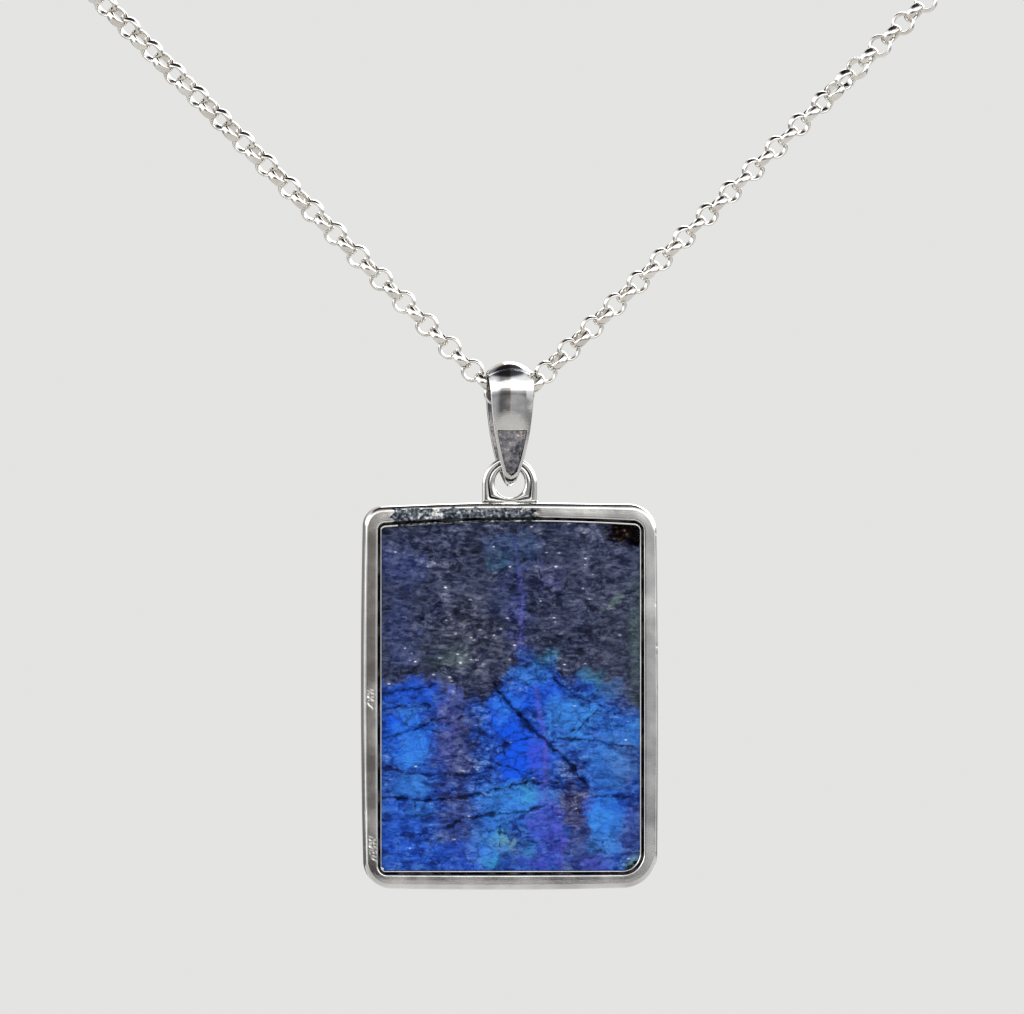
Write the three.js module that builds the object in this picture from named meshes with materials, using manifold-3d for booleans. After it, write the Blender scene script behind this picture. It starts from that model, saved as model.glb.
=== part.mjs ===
// Labradorite slab pendant: a rough stone slab in an open-backed silver bezel frame, which hangs
// by a soldered loop and a tapered bail on a fine chain.
// Millimetres, +Z up. The rough back of the pendant faces -Y and its front faces +Y.
// The origin is the centre of the chain where it carries the bail.
import * as THREE from 'three';
import { mergeVertices } from 'three/addons/utils/BufferGeometryUtils.js';
import Module from 'manifold-3d';

const wasm = await Module();
wasm.setup();

// Frame outlines: corner x, corner z, corner radius, and how far the side that follows bows out
const FRAME_OUTER = [
  { x: -12.62, z: -10.5, radius: 1.7, bow: 0 },
  { x: 12.58, z: -10.3, radius: 2.4, bow: 0.1 },
  { x: 12.64, z: -43.37, radius: 3, bow: 0.13 },
  { x: -12.58, z: -43.38, radius: 2.3, bow: 0.17 },
];
const FRAME_INNER = [
  { x: -11.1, z: -12.34, radius: 0.3, bow: 0.4 },
  { x: 11.1, z: -12.16, radius: 0.5, bow: 0 },
  { x: 11.1, z: -41.82, radius: 1.5, bow: 0 },
  { x: -11.1, z: -41.8, radius: 0.3, bow: 0 },
];
const FRAME_HALF_DEPTH = 2.3;
const FRAME_EDGE_Y = 1.75;
const FRAME_EDGE_SHARE = 0.7;
const POCKET_HALF_DEPTH = 1.6;
const POCKET_SHARE = 0.28;

// The frame's back lip, groove and rim, and its front rim, as pairs: the share of the way
// from the inner to the outer outline, and the distance from the middle of the frame's depth
const BACK_PROFILE = [
  [0, POCKET_HALF_DEPTH],
  [0, 1.88],
  [0.05, 1.98],
  [0.13, 1.98],
  [0.16, 1.86],
  [0.2, 1.86],
  [0.23, 2.24],
  [0.27, FRAME_HALF_DEPTH],
];
const FRONT_PROFILE = [
  [0.1, FRAME_HALF_DEPTH],
  [0, 2.14],
  [0, POCKET_HALF_DEPTH],
  [POCKET_SHARE, POCKET_HALF_DEPTH],
];
const CORNER_STEPS = 5;
const SIDE_STEPS = 4;

// The level stretch of the frame's top edge that the loop is soldered to, and the point
// to its left where the edge starts to fall towards the corner
const TOP_FLAT_Z = -10.2;
const TOP_FLAT_HALF = 2.9;
const TOP_FALL = { x: -6.2, z: -10.3 };

// Hanging loop: an arch-shaped plate with a round hole
const LOOP_OUTER_R = 2.35;
const LOOP_ARCH_Z = -8.58;
const LOOP_HOLE_R = 1.31;
const LOOP_HOLE_Z = -8.47;
const LOOP_THICK = 0.92;
const LOOP_BEVEL = 0.16;
const LOOP_STEPS = 14;

// Slab
const SLAB_GAP = 0.05;
const SLAB_CELL = 0.85;
const SLAB_FRONT_CROWN = 0.75;
const SLAB_RIM = 1.3;
const SLAB_CORNER_R = 1.6;
const SLAB_OVER_CELLS = 2;
const CRACK_DEPTH = 0.3;
const CRACK_HALF_WIDTH = 0.4;
const BACK_LIFT = 0.12;
const CHIP = { x: 10.6, z: -12.6, halfWidth: 2.3, halfHeight: 1.2, depth: 1.3 };

// The stone's unevenness, as waves: height, how fast it turns along x and along z, and its start
const WAVES = [
  { height: 0.07, alongX: 0.45, alongZ: 0.31, start: 1.0 },
  { height: 0.06, alongX: -0.27, alongZ: 0.52, start: 2.4 },
  { height: 0.05, alongX: 0.21, alongZ: 1.27, start: 0.5 },
  { height: 0.04, alongX: 1.13, alongZ: -0.74, start: 4.1 },
  { height: 0.035, alongX: -0.9, alongZ: -1.9, start: 3.0 },
  { height: 0.03, alongX: 2.2, alongZ: 0.6, start: 5.2 },
];

// Bail: height profile from its top (z) to its tip, as half depth and half width
const BAIL_PROFILE = [
  { z: 1.966, depth: 0, width: 1.94 },
  { z: 1.72, depth: 0.95, width: 1.93 },
  { z: 1.0, depth: 1.82, width: 1.91 },
  { z: -0.2, depth: 2.28, width: 1.86 },
  { z: -2.0, depth: 2.2, width: 1.74 },
  { z: -4.0, depth: 1.95, width: 1.52 },
  { z: -6.0, depth: 1.68, width: 1.13 },
  { z: -7.4, depth: 1.32, width: 0.76 },
  { z: -8.4, depth: 0.74, width: 0.42 },
  { z: -8.79, depth: 0, width: 0.26 },
];
const BAIL_WALL = 0.42;
const BAIL_DOME = 0.8;
const BAIL_DOME_END = 0.06;
const BAIL_CAVITY_FOOT_Z = -7.5;
const BAIL_TWIST = 5;
const BAIL_RING_STEPS = 44;
const BAIL_WIDTH_STEPS = 6;
const BAIL_TIP_INSET = 0.2;

// The panel sunk into the bail's back leaf, and the block that cuts it
const PANEL_TOP_Z = -4.0;
const PANEL_FOOT_Z = -7.85;
const PANEL_RIM = 0.24;
const PANEL_DEPTH = 0.2;
const PANEL_STEPS = 6;
const PANEL_CUT = { thickness: 3, y: -1.8, over: 0.1 };

// Chain: each arm rises as a nearly straight line from the bail
const CHAIN_DIAMETER = 1.97;
const CHAIN_EYE_DIAMETER = 0.7;
const CHAIN_BEND_R = 1.1;
const CHAIN_BEND_Z = -2.0;
const CHAIN_LEFT_SLOPE = 0.995;
const CHAIN_RIGHT_SLOPE = 0.976;
const CHAIN_LEFT_END_X = -36.9;
const CHAIN_RIGHT_END_X = 37.6;
const CHAIN_EYE_END_X = 2.75;
const CHAIN_GAP = 0.3;
const CHAIN_SIDES = 8;
const CHAIN_STEP = 5;
const CHAIN_EYE_STEPS = 16;
const RING_R = 1.75;
const RING_WIRE_R = 0.4;
const RING_SIDES = 8;
const RING_STEPS = 24;

const SILVER = { color: 0xc9c9c6, roughness: 0.22, metalness: 1 };
const LABRADORITE = { color: 0x2d3f6e, roughness: 0.45, metalness: 0 };

const rad = THREE.MathUtils.degToRad;
const lerp = THREE.MathUtils.lerp;

function solidFrom(geometry) {
  const plain = geometry.clone();
  plain.deleteAttribute('normal');
  plain.deleteAttribute('uv');
  const merged = mergeVertices(plain, 1e-5);
  return new wasm.Manifold(
    new wasm.Mesh({
      numProp: 3,
      vertProperties: new Float32Array(merged.attributes.position.array),
      triVerts: new Uint32Array(merged.index.array),
    }),
  );
}

function geometryFrom(solid) {
  const mesh = solid.getMesh();
  const geometry = new THREE.BufferGeometry();
  geometry.setAttribute('position', new THREE.BufferAttribute(mesh.vertProperties, 3));
  geometry.setIndex(new THREE.BufferAttribute(mesh.triVerts, 1));
  return geometry;
}

function named(name, geometry, look) {
  const mesh = new THREE.Mesh(geometry, new THREE.MeshStandardMaterial(look));
  mesh.name = name;
  return mesh;
}

// A closed mesh from rings of points: ring i joins ring i + 1, and the last ring joins the first
function ringSweep(rings) {
  const count = rings[0].length;
  const positions = rings.flatMap((ring) => ring.flatMap((point) => point.toArray()));
  const index = [];
  for (let i = 0; i < rings.length; i += 1) {
    const next = (i + 1) % rings.length;
    for (let j = 0; j < count; j += 1) {
      const after = (j + 1) % count;
      const [a, b] = [i * count + j, i * count + after];
      const [c, d] = [next * count + after, next * count + j];
      index.push(a, c, b, a, d, c);
    }
  }
  const geometry = new THREE.BufferGeometry();
  geometry.setAttribute('position', new THREE.Float32BufferAttribute(positions, 3));
  geometry.setIndex(index);
  return geometry;
}

// Points along one side of a frame outline, from one rounded corner to the next
function sidePoints(start, end, bow) {
  const along = new THREE.Vector2().subVectors(end, start);
  const outward = new THREE.Vector2(-along.y, along.x).normalize();
  const points = [];
  for (let i = 1; i < SIDE_STEPS; i += 1) {
    const share = i / SIDE_STEPS;
    const lift = bow * 4 * share * (1 - share);
    points.push(start.clone().addScaledVector(along, share).addScaledVector(outward, lift));
  }
  return points;
}

// An outline runs clockwise as seen from the back: top left, top right, bottom right, bottom left
function roundedOutline(corners, topLevel) {
  const turns = [
    [180, 90],
    [90, 0],
    [0, -90],
    [-90, -180],
  ];
  const arcs = corners.map((corner, k) => {
    const centre = new THREE.Vector2(
      corner.x - Math.sign(corner.x) * corner.radius,
      corner.z + (k < 2 ? -1 : 1) * corner.radius,
    );
    const points = [];
    for (let i = 0; i <= CORNER_STEPS; i += 1) {
      const angle = rad(lerp(turns[k][0], turns[k][1], i / CORNER_STEPS));
      const spoke = new THREE.Vector2(Math.cos(angle), Math.sin(angle));
      points.push(centre.clone().addScaledVector(spoke, corner.radius));
    }
    return points;
  });
  return arcs.flatMap((arc, k) => {
    const next = arcs[(k + 1) % arcs.length];
    const start = arc[arc.length - 1];
    const side = sidePoints(start, next[0], corners[k].bow);
    if (k === 0 && topLevel) {
      side[0].set(TOP_FALL.x, TOP_FALL.z);
      side[1].set(-TOP_FLAT_HALF, TOP_FLAT_Z);
      side[2].set(TOP_FLAT_HALF, TOP_FLAT_Z);
    }
    return [...arc, ...side];
  });
}

// The frame's section: share of the way from the inner to the outer outline, and y
function frameSection() {
  const edge = [0, 30, 60, 90].map((angle) => [
    lerp(FRAME_EDGE_SHARE, 1, Math.sin(rad(angle))),
    lerp(FRAME_EDGE_Y, FRAME_HALF_DEPTH, Math.cos(rad(angle))),
  ]);
  return [
    ...BACK_PROFILE.map(([share, y]) => [share, -y]),
    ...edge.map(([share, y]) => [share, -y]),
    ...edge.reverse(),
    ...FRONT_PROFILE,
    [POCKET_SHARE, -POCKET_HALF_DEPTH],
  ];
}

function outlineBetween(share) {
  const outer = roundedOutline(FRAME_OUTER, true);
  const inner = roundedOutline(FRAME_INNER, false);
  return inner.map((point, i) => point.clone().multiplyScalar(1 - share).addScaledVector(outer[i], share));
}

function bezelFrame() {
  const section = frameSection();
  const lines = section.map(([share]) => outlineBetween(share));
  const stations = lines[0].length;
  const rings = [];
  for (let i = 0; i < stations; i += 1) {
    rings.push(section.map(([, y], j) => new THREE.Vector3(lines[j][i].x, y, lines[j][i].y)));
  }
  return named('bezel_frame', ringSweep(rings), SILVER);
}

// A plate in the XZ plane with its thickness along Y, centred on y = 0
function plate(shape, thickness, bevel, steps) {
  const geometry = new THREE.ExtrudeGeometry(shape, {
    depth: thickness - 2 * bevel,
    bevelEnabled: bevel > 0,
    bevelThickness: bevel,
    bevelSize: bevel,
    bevelOffset: -bevel,
    bevelSegments: 2,
    curveSegments: steps,
  });
  geometry.translate(0, 0, bevel - thickness / 2);
  geometry.rotateX(Math.PI / 2);
  return geometry;
}

function hangingLoop() {
  const arch = new THREE.Shape();
  arch.moveTo(-LOOP_OUTER_R, TOP_FLAT_Z);
  arch.lineTo(LOOP_OUTER_R, TOP_FLAT_Z);
  arch.lineTo(LOOP_OUTER_R, LOOP_ARCH_Z);
  arch.absarc(0, LOOP_ARCH_Z, LOOP_OUTER_R, 0, Math.PI, false);
  arch.closePath();
  const hole = new THREE.Path();
  hole.absarc(0, LOOP_HOLE_Z, LOOP_HOLE_R, 0, 2 * Math.PI, true);
  arch.holes.push(hole);
  return named('hanging_loop', plate(arch, LOOP_THICK, LOOP_BEVEL, LOOP_STEPS), SILVER);
}

// Cracks across the slab's back, as lines of x, z points
const CRACKS = [
  [[-1.46, -25.8], [1.62, -29.33], [4.26, -31.74], [6.68, -34.8]],
  [[-11.02, -26.6], [-6.53, -25.9]],
  [[-10.93, -30.54], [-8.28, -29.65], [-5.64, -28.55]],
  [[-10.93, -33.17], [-6.74, -33.6], [-3.44, -33.5]],
  [[-10.93, -35.6], [-4.55, -35.6], [2.06, -34.17]],
  [[3.71, -30.53], [10.85, -31.3]],
  [[3.6, -25.37], [8.87, -28.3]],
];

function distanceToLine(point, line) {
  let nearest = Infinity;
  for (let i = 0; i + 1 < line.length; i += 1) {
    const segment = new THREE.Line3(new THREE.Vector3(...line[i], 0), new THREE.Vector3(...line[i + 1], 0));
    const spot = segment.closestPointToPoint(point, true, new THREE.Vector3());
    nearest = Math.min(nearest, spot.distanceTo(point));
  }
  return nearest;
}

// How far a point lies inside the frame's opening, from 0 under the lip to 1 past the rim
function rimShare(x, z) {
  const [left, right] = [FRAME_INNER[0].x, FRAME_INNER[1].x];
  const [top, foot] = [FRAME_INNER[0].z, FRAME_INNER[2].z];
  const across = Math.min(x - left, right - x);
  const upright = Math.min(top - z, z - foot);
  const corner = Math.hypot(Math.max(0, SLAB_CORNER_R - across), Math.max(0, SLAB_CORNER_R - upright));
  const inside = Math.min(across, upright, SLAB_CORNER_R - corner);
  return THREE.MathUtils.smoothstep(inside, 0, SLAB_RIM);
}

function roughness(x, z) {
  const lifts = WAVES.map((wave) => wave.height * Math.sin(wave.alongX * x + wave.alongZ * z + wave.start));
  return lifts.reduce((sum, lift) => sum + lift, 0);
}

// Height of the rough back face above its rim plane, positive out of the stone
function backRelief(x, z) {
  const point = new THREE.Vector3(x, z, 0);
  let height = BACK_LIFT + roughness(x, z);
  CRACKS.forEach((line) => {
    const away = distanceToLine(point, line) / CRACK_HALF_WIDTH;
    height -= CRACK_DEPTH * Math.exp(-away * away);
  });
  const reach = Math.hypot((x - CHIP.x) / CHIP.halfWidth, (z - CHIP.z) / CHIP.halfHeight);
  const chip = reach < 1 ? CHIP.depth * (1 - reach * reach) : 0;
  return height * rimShare(x, z) - chip;
}

function frontRelief(x, z) {
  return (SLAB_FRONT_CROWN + roughness(-x, z)) * rimShare(x, z);
}

// A block whose back and front faces are height fields on one grid. Grid lines fall on the
// edges of the frame's opening, and the block reaches past them on every side.
function reliefBlock() {
  const opening = new THREE.Box2(
    new THREE.Vector2(FRAME_INNER[0].x, FRAME_INNER[2].z),
    new THREE.Vector2(FRAME_INNER[1].x, FRAME_INNER[0].z),
  );
  const size = opening.getSize(new THREE.Vector2());
  const cells = size.clone().divideScalar(SLAB_CELL).round();
  const block = opening.clone().expandByVector(size.clone().divide(cells).multiplyScalar(SLAB_OVER_CELLS));
  const [left, right, foot, top] = [block.min.x, block.max.x, block.min.y, block.max.y];
  const columns = cells.x + 2 * SLAB_OVER_CELLS;
  const rows = cells.y + 2 * SLAB_OVER_CELLS;
  const wide = columns + 1;
  const positions = [];
  const index = [];
  const quad = (a, b, c, d) => index.push(a, b, c, a, c, d);
  for (const side of [-1, 1]) {
    const relief = side < 0 ? backRelief : frontRelief;
    for (let r = 0; r <= rows; r += 1) {
      for (let c = 0; c <= columns; c += 1) {
        const x = lerp(left, right, c / columns);
        const z = lerp(foot, top, r / rows);
        positions.push(x, side * (POCKET_HALF_DEPTH + relief(x, z)), z);
      }
    }
  }
  const back = (r, c) => r * wide + c;
  const front = (r, c) => (rows + 1) * wide + r * wide + c;
  for (let r = 0; r < rows; r += 1) {
    for (let c = 0; c < columns; c += 1) {
      quad(back(r, c), back(r, c + 1), back(r + 1, c + 1), back(r + 1, c));
      quad(front(r, c), front(r + 1, c), front(r + 1, c + 1), front(r, c + 1));
    }
    quad(back(r, 0), back(r + 1, 0), front(r + 1, 0), front(r, 0));
    quad(back(r, columns), front(r, columns), front(r + 1, columns), back(r + 1, columns));
  }
  for (let c = 0; c < columns; c += 1) {
    quad(back(0, c), front(0, c), front(0, c + 1), back(0, c + 1));
    quad(back(rows, c), back(rows, c + 1), front(rows, c + 1), front(rows, c));
  }
  const geometry = new THREE.BufferGeometry();
  geometry.setAttribute('position', new THREE.Float32BufferAttribute(positions, 3));
  geometry.setIndex(index);
  return geometry;
}

function labradoriteSlab() {
  const frameWidth = FRAME_OUTER[1].x - FRAME_INNER[1].x;
  const outline = outlineBetween(POCKET_SHARE - SLAB_GAP / frameWidth);
  const blank = plate(new THREE.Shape(outline), 4 * FRAME_HALF_DEPTH, 0, 1);
  const block = solidFrom(reliefBlock());
  return named('labradorite_slab', geometryFrom(block.intersect(solidFrom(blank))), LABRADORITE);
}

// Half of the bail's outline, from the top to the tip, as a smooth curve of (depth, z, width)
function bailCurve() {
  const points = BAIL_PROFILE.map((spot) => new THREE.Vector3(spot.depth, spot.z, spot.width));
  return new THREE.CatmullRomCurve3(points, false, 'centripetal');
}

function bailHalfWidth(z) {
  const spots = BAIL_PROFILE;
  const next = spots.findIndex((spot) => spot.z <= z);
  if (next <= 0) return next === 0 ? spots[0].width : spots[spots.length - 1].width;
  const share = (spots[next - 1].z - z) / (spots[next - 1].z - spots[next].z);
  return lerp(spots[next - 1].width, spots[next].width, share);
}

// The bail is a domed band bent into a pear-shaped ring. Each ring of points is one cross-section
// of it, or of a skin over it, which reaches from `over` outside the band's surface to `under` it.
function bailSections(over, under, cavityFoot) {
  const curve = bailCurve();
  const [top, foot] = [BAIL_PROFILE[0].z, BAIL_PROFILE[BAIL_PROFILE.length - 1].z];
  const rings = [];
  for (let i = 0; i < BAIL_RING_STEPS; i += 1) {
    const turn = (2 * i) / BAIL_RING_STEPS;
    const side = turn <= 1 ? -1 : 1;
    const along = turn <= 1 ? turn : 2 - turn;
    const spot = curve.getPointAt(along);
    const tangent = curve.getTangentAt(along);
    const outward = new THREE.Vector2(-tangent.y, tangent.x).normalize();
    const sag = lerp(BAIL_DOME, BAIL_DOME_END, Math.min(1, Math.max(0, (top - spot.y) / (top - foot))));
    const outer = new THREE.Vector2(spot.x, spot.y).addScaledVector(outward, over);
    const inner = new THREE.Vector2(spot.x, spot.y).addScaledVector(outward, -under);
    inner.set(Math.max(0, inner.x), Math.max(cavityFoot, inner.y));
    const ring = [];
    for (let j = 0; j <= BAIL_WIDTH_STEPS; j += 1) {
      const v = lerp(-1, 1, j / BAIL_WIDTH_STEPS);
      const drop = sag * v * v;
      ring.push(new THREE.Vector3(
        v * spot.z,
        side * (outer.x - outward.x * drop),
        outer.y - outward.y * drop,
      ));
    }
    const innerHalf = bailHalfWidth(inner.y);
    for (let j = BAIL_WIDTH_STEPS; j >= 0; j -= 1) {
      const v = lerp(-1, 1, j / BAIL_WIDTH_STEPS);
      const drop = sag * v * v;
      ring.push(new THREE.Vector3(
        v * innerHalf,
        side * (inner.x - outward.x * drop),
        inner.y - outward.y * drop,
      ));
    }
    rings.push(ring);
  }
  return rings;
}

// The sunk panel follows the back leaf's outline, a rim's width inside it
function panelBlock() {
  const shape = new THREE.Shape();
  const rows = [];
  for (let i = 0; i <= PANEL_STEPS; i += 1) {
    const z = lerp(PANEL_TOP_Z, PANEL_FOOT_Z, i / PANEL_STEPS);
    rows.push([bailHalfWidth(z) - PANEL_RIM, z]);
  }
  shape.moveTo(-rows[0][0], rows[0][1]);
  rows.slice(1).forEach(([half, z]) => shape.lineTo(-half, z));
  rows.reverse().forEach(([half, z]) => shape.lineTo(half, z));
  const geometry = plate(shape, PANEL_CUT.thickness, 0, 1);
  geometry.translate(0, PANEL_CUT.y, 0);
  return geometry;
}

function bail() {
  const tip = BAIL_PROFILE[BAIL_PROFILE.length - 1].z;
  const body = solidFrom(ringSweep(bailSections(0, BAIL_WALL, BAIL_CAVITY_FOOT_Z)));
  const skin = solidFrom(ringSweep(bailSections(PANEL_CUT.over, PANEL_DEPTH, tip + BAIL_TIP_INSET)));
  const sunk = body.subtract(skin.intersect(solidFrom(panelBlock())));
  const mesh = named('bail', geometryFrom(sunk), SILVER);
  mesh.rotation.z = rad(BAIL_TWIST);
  return mesh;
}

function armPoint(x) {
  const slope = x < 0 ? CHAIN_LEFT_SLOPE : CHAIN_RIGHT_SLOPE;
  return new THREE.Vector3(x, 0, CHAIN_BEND_Z + slope * Math.abs(x));
}

function tube(name, points, radius, steps) {
  const section = new THREE.Shape();
  section.absarc(0, 0, radius, 0, 2 * Math.PI, false);
  const path = new THREE.CatmullRomCurve3(points, false, 'centripetal');
  const geometry = new THREE.ExtrudeGeometry(section, {
    steps,
    bevelEnabled: false,
    extrudePath: path,
    curveSegments: CHAIN_SIDES / 2,
  });
  return named(name, geometry, SILVER);
}

function chainArm(name, startX, endX) {
  const [start, end] = [armPoint(startX), armPoint(endX)];
  const steps = Math.round(start.distanceTo(end) / CHAIN_STEP);
  return tube(name, [start, start.clone().lerp(end, 0.5), end], CHAIN_DIAMETER / 2, steps);
}

// The stretch in the bail's eye: down one arm, round the bend, up the other
function chainMiddle() {
  const bendCentre = new THREE.Vector3(0, 0, CHAIN_BEND_Z + CHAIN_BEND_R * Math.SQRT2);
  const bend = [-45, -15, 15, 45].map((angle) => {
    const turn = rad(angle);
    return new THREE.Vector3(Math.sin(turn), 0, -Math.cos(turn)).multiplyScalar(CHAIN_BEND_R).add(bendCentre);
  });
  const end = CHAIN_EYE_END_X;
  const straight = (end + CHAIN_BEND_R * Math.SQRT1_2) / 2;
  const points = [armPoint(-end), armPoint(-straight), ...bend, armPoint(straight), armPoint(end)];
  return tube('chain_middle', points, CHAIN_EYE_DIAMETER / 2, CHAIN_EYE_STEPS);
}

// A closed ring just past the chain's end, in line with it
function endRing(name, endX) {
  const start = armPoint(endX);
  const along = start.clone().sub(armPoint(endX - Math.sign(endX))).normalize();
  const geometry = new THREE.TorusGeometry(RING_R, RING_WIRE_R, RING_SIDES, RING_STEPS);
  geometry.rotateX(Math.PI / 2);
  const ring = named(name, geometry, SILVER);
  ring.position.copy(start).addScaledVector(along, RING_R + RING_WIRE_R + CHAIN_GAP);
  return ring;
}

const pendant = new THREE.Group();
pendant.add(bezelFrame());
pendant.add(labradoriteSlab());
pendant.add(hangingLoop());
pendant.add(bail());
pendant.add(chainMiddle());
const armStartX = CHAIN_EYE_END_X + CHAIN_GAP;
pendant.add(chainArm('chain_left', -armStartX, CHAIN_LEFT_END_X));
pendant.add(chainArm('chain_right', armStartX, CHAIN_RIGHT_END_X));
pendant.add(endRing('end_ring_left', CHAIN_LEFT_END_X));
pendant.add(endRing('end_ring_right', CHAIN_RIGHT_END_X));

export default pendant;
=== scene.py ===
# Labradorite slab pendant, seen from its rough back, hung on a belcher chain.
# Sizes are millimetres until a mesh is made. The camera, floor and lights are placed in metres.
import math
import random

import bpy
import numpy as np
from mathutils import Matrix, Vector, noise


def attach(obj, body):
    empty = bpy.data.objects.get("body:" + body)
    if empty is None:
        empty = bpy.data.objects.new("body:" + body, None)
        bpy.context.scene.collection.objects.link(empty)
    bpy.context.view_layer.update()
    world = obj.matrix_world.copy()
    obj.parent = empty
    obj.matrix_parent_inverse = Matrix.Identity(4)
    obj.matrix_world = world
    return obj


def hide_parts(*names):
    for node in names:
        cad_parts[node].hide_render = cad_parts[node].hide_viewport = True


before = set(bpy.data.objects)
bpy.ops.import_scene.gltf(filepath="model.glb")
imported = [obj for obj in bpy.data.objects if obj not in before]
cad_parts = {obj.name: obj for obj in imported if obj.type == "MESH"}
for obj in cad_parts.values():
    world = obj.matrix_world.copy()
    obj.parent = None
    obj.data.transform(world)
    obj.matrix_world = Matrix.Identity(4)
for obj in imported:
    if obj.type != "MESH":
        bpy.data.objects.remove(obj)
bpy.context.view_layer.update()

MM = 0.001
SEED = 7

# The photograph's frame: its size and scale, and the pixel where the frame's origin lies
IMAGE_SIZE = (1024, 1014)
PIXELS_PER_MM = 11.6
ORIGIN_PIXEL = (509.7, 384.5)

# Camera: a long lens, a little to the left of straight behind the pendant
CAMERA_DISTANCE = 0.9
CAMERA_LEFT = 3.0
SENSOR_WIDTH = 36.0

# Frame outlines: corner x, corner z, corner radius, and how far the side that follows bows out
FRAME_OUTER = [
    (-12.62, -10.5, 1.7, 0.0),
    (12.58, -10.3, 2.4, 0.1),
    (12.64, -43.37, 3.0, 0.13),
    (-12.58, -43.38, 2.3, 0.17),
]
FRAME_INNER = [
    (-11.1, -12.34, 0.3, 0.4),
    (11.1, -12.16, 0.5, 0.0),
    (11.1, -41.82, 1.5, 0.0),
    (-11.1, -41.8, 0.3, 0.0),
]
TOP_EDGE = [(-6.2, -10.3), (-2.9, -10.2), (2.9, -10.2)]
FRAME_BAND = 1.7
FRAME_CELL = 0.09
POCKET_HALF_DEPTH = 1.6
POCKET_SHARE = 0.28

# Hanging loop
LOOP_OUTER_R = 2.35
LOOP_ARCH_Z = -8.58
LOOP_HOLE_R = 1.31
LOOP_HOLE_Z = -8.47
LOOP_FOOT_Z = -10.2
# The groove round the loop's faces, as shares of the way from the hole to the outline
LOOP_GROOVE = (0.4, 0.6)

# Bail: from its top to its tip, as z, half depth and half width
BAIL_PROFILE = [
    (1.966, 0.0, 1.94),
    (1.72, 0.95, 1.93),
    (1.0, 1.82, 1.91),
    (-0.2, 2.28, 1.86),
    (-2.0, 2.2, 1.74),
    (-4.0, 1.95, 1.52),
    (-6.0, 1.68, 1.13),
    (-7.4, 1.32, 0.76),
    (-8.4, 0.74, 0.42),
    (-8.79, 0.0, 0.26),
]
BAIL_WALL = 0.42
BAIL_DOME = 0.8
BAIL_DOME_END = 0.06
BAIL_CAVITY_FOOT_Z = -7.5
BAIL_TWIST = 5.0
CREASE_Z = 1.31
CREASE_DEPTH = 0.07
CREASE_HALF_WIDTH = 0.07
# The bail's rounded rims: share of the way from the outer edge to the inner one, and the bulge
BAIL_RIM = [(0.06, 0.035), (0.2, 0.055), (0.8, 0.055), (0.94, 0.035)]
# The panel sunk into the bail's back leaf: its foot is half an oval
PANEL_TOP_Z = -4.0
PANEL_FOOT_Z = -7.85
PANEL_FOOT_HIGH = 0.5
PANEL_RIM = 0.24
PANEL_DEPTH = 0.2
PANEL_WALL = 0.07
# Below this z the mesh's columns begin to follow the panel's edge, and do so fully this far down
COLUMNS_TURN_Z = 0.5
COLUMNS_TURN_LENGTH = 3.0

# Places in a silver piece's list of materials. DARK is painted shade in grooves and on the bail panel's wall
POLISHED, RAW, DARK = 0, 1, 2

# Chain: the bend in the bail's eye, the arms, and the links
BEND_Z = -2.0
BEND_R = 1.1
ARM_SLOPE = {"left": 0.995, "right": 0.976}
ARM_END_X = {"left": -36.9, "right": 37.6}
LINK_PITCH = 1.392
# The links' wire, as distance from the link's centre and from its middle plane
LINK_WIRE = [
    (0.7, 0.0), (0.7, 0.18), (0.73, 0.3), (0.8, 0.38), (0.88, 0.37), (0.96, 0.27), (1.0, 0.13), (1.01, 0.0),
]
# How far the links have rolled about the chain, by distance from the bail: the links that face
# the viewer, and the ones between them, in degrees
LINK_ROLL = {
    "left": [(0, -3, -8), (14, -8, -12), (24, -25, -25), (34, -38, -38), (51, -35, -35)],
    "right": [(0, 12, 22), (12, 18, 15), (22, 25, 3), (34, 25, 0), (38, 40, 30), (43, 75, 80), (51, 80, 85)],
}
END_RING_R = 1.75
END_RING_WIRE_R = 0.4
END_RING_GAP = 0.3

# Floor and light
FLOOR_Z = -0.075
FLOOR_RADIUS = 0.34


def linear(hex_colour):
    """An sRGB hex colour as linear red, green, blue and alpha."""
    parts = [int(hex_colour[i:i + 2], 16) / 255 for i in (1, 3, 5)]
    curve = [c / 12.92 if c <= 0.04045 else ((c + 0.055) / 1.055) ** 2.4 for c in parts]
    return (*curve, 1.0)


def add(tree, kind, inputs=None, output=None, stops=(), **settings):
    """Adds a node with its settings, sets or links its inputs, and returns one of its outputs: the
    first in use, or the one named. A hex string is a colour, and stops are a colour ramp's."""
    node = tree.nodes.new("ShaderNode" + kind)
    for name, value in settings.items():
        setattr(node, name, value)
    for name, value in (inputs or {}).items():
        socket = node.inputs[name]
        if isinstance(value, bpy.types.NodeSocket):
            tree.links.new(value, socket)
        else:
            socket.default_value = linear(value) if isinstance(value, str) else value
    for _ in stops[2:]:
        node.color_ramp.elements.new(1.0)
    for k, (position, hex_colour) in enumerate(stops):
        node.color_ramp.elements[k].position = position
        node.color_ramp.elements[k].color = linear(hex_colour)
    in_use = [socket for socket in node.outputs if socket.enabled]
    return node.outputs[output] if output else in_use[0] if in_use else None


def new_material(name):
    """A new material, its node tree, and the piece's own coordinates in that tree."""
    material = bpy.data.materials.new(name)
    material.use_nodes = True
    tree = material.node_tree
    tree.nodes.clear()
    return material, tree, add(tree, "TexCoord", output="Object")


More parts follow.
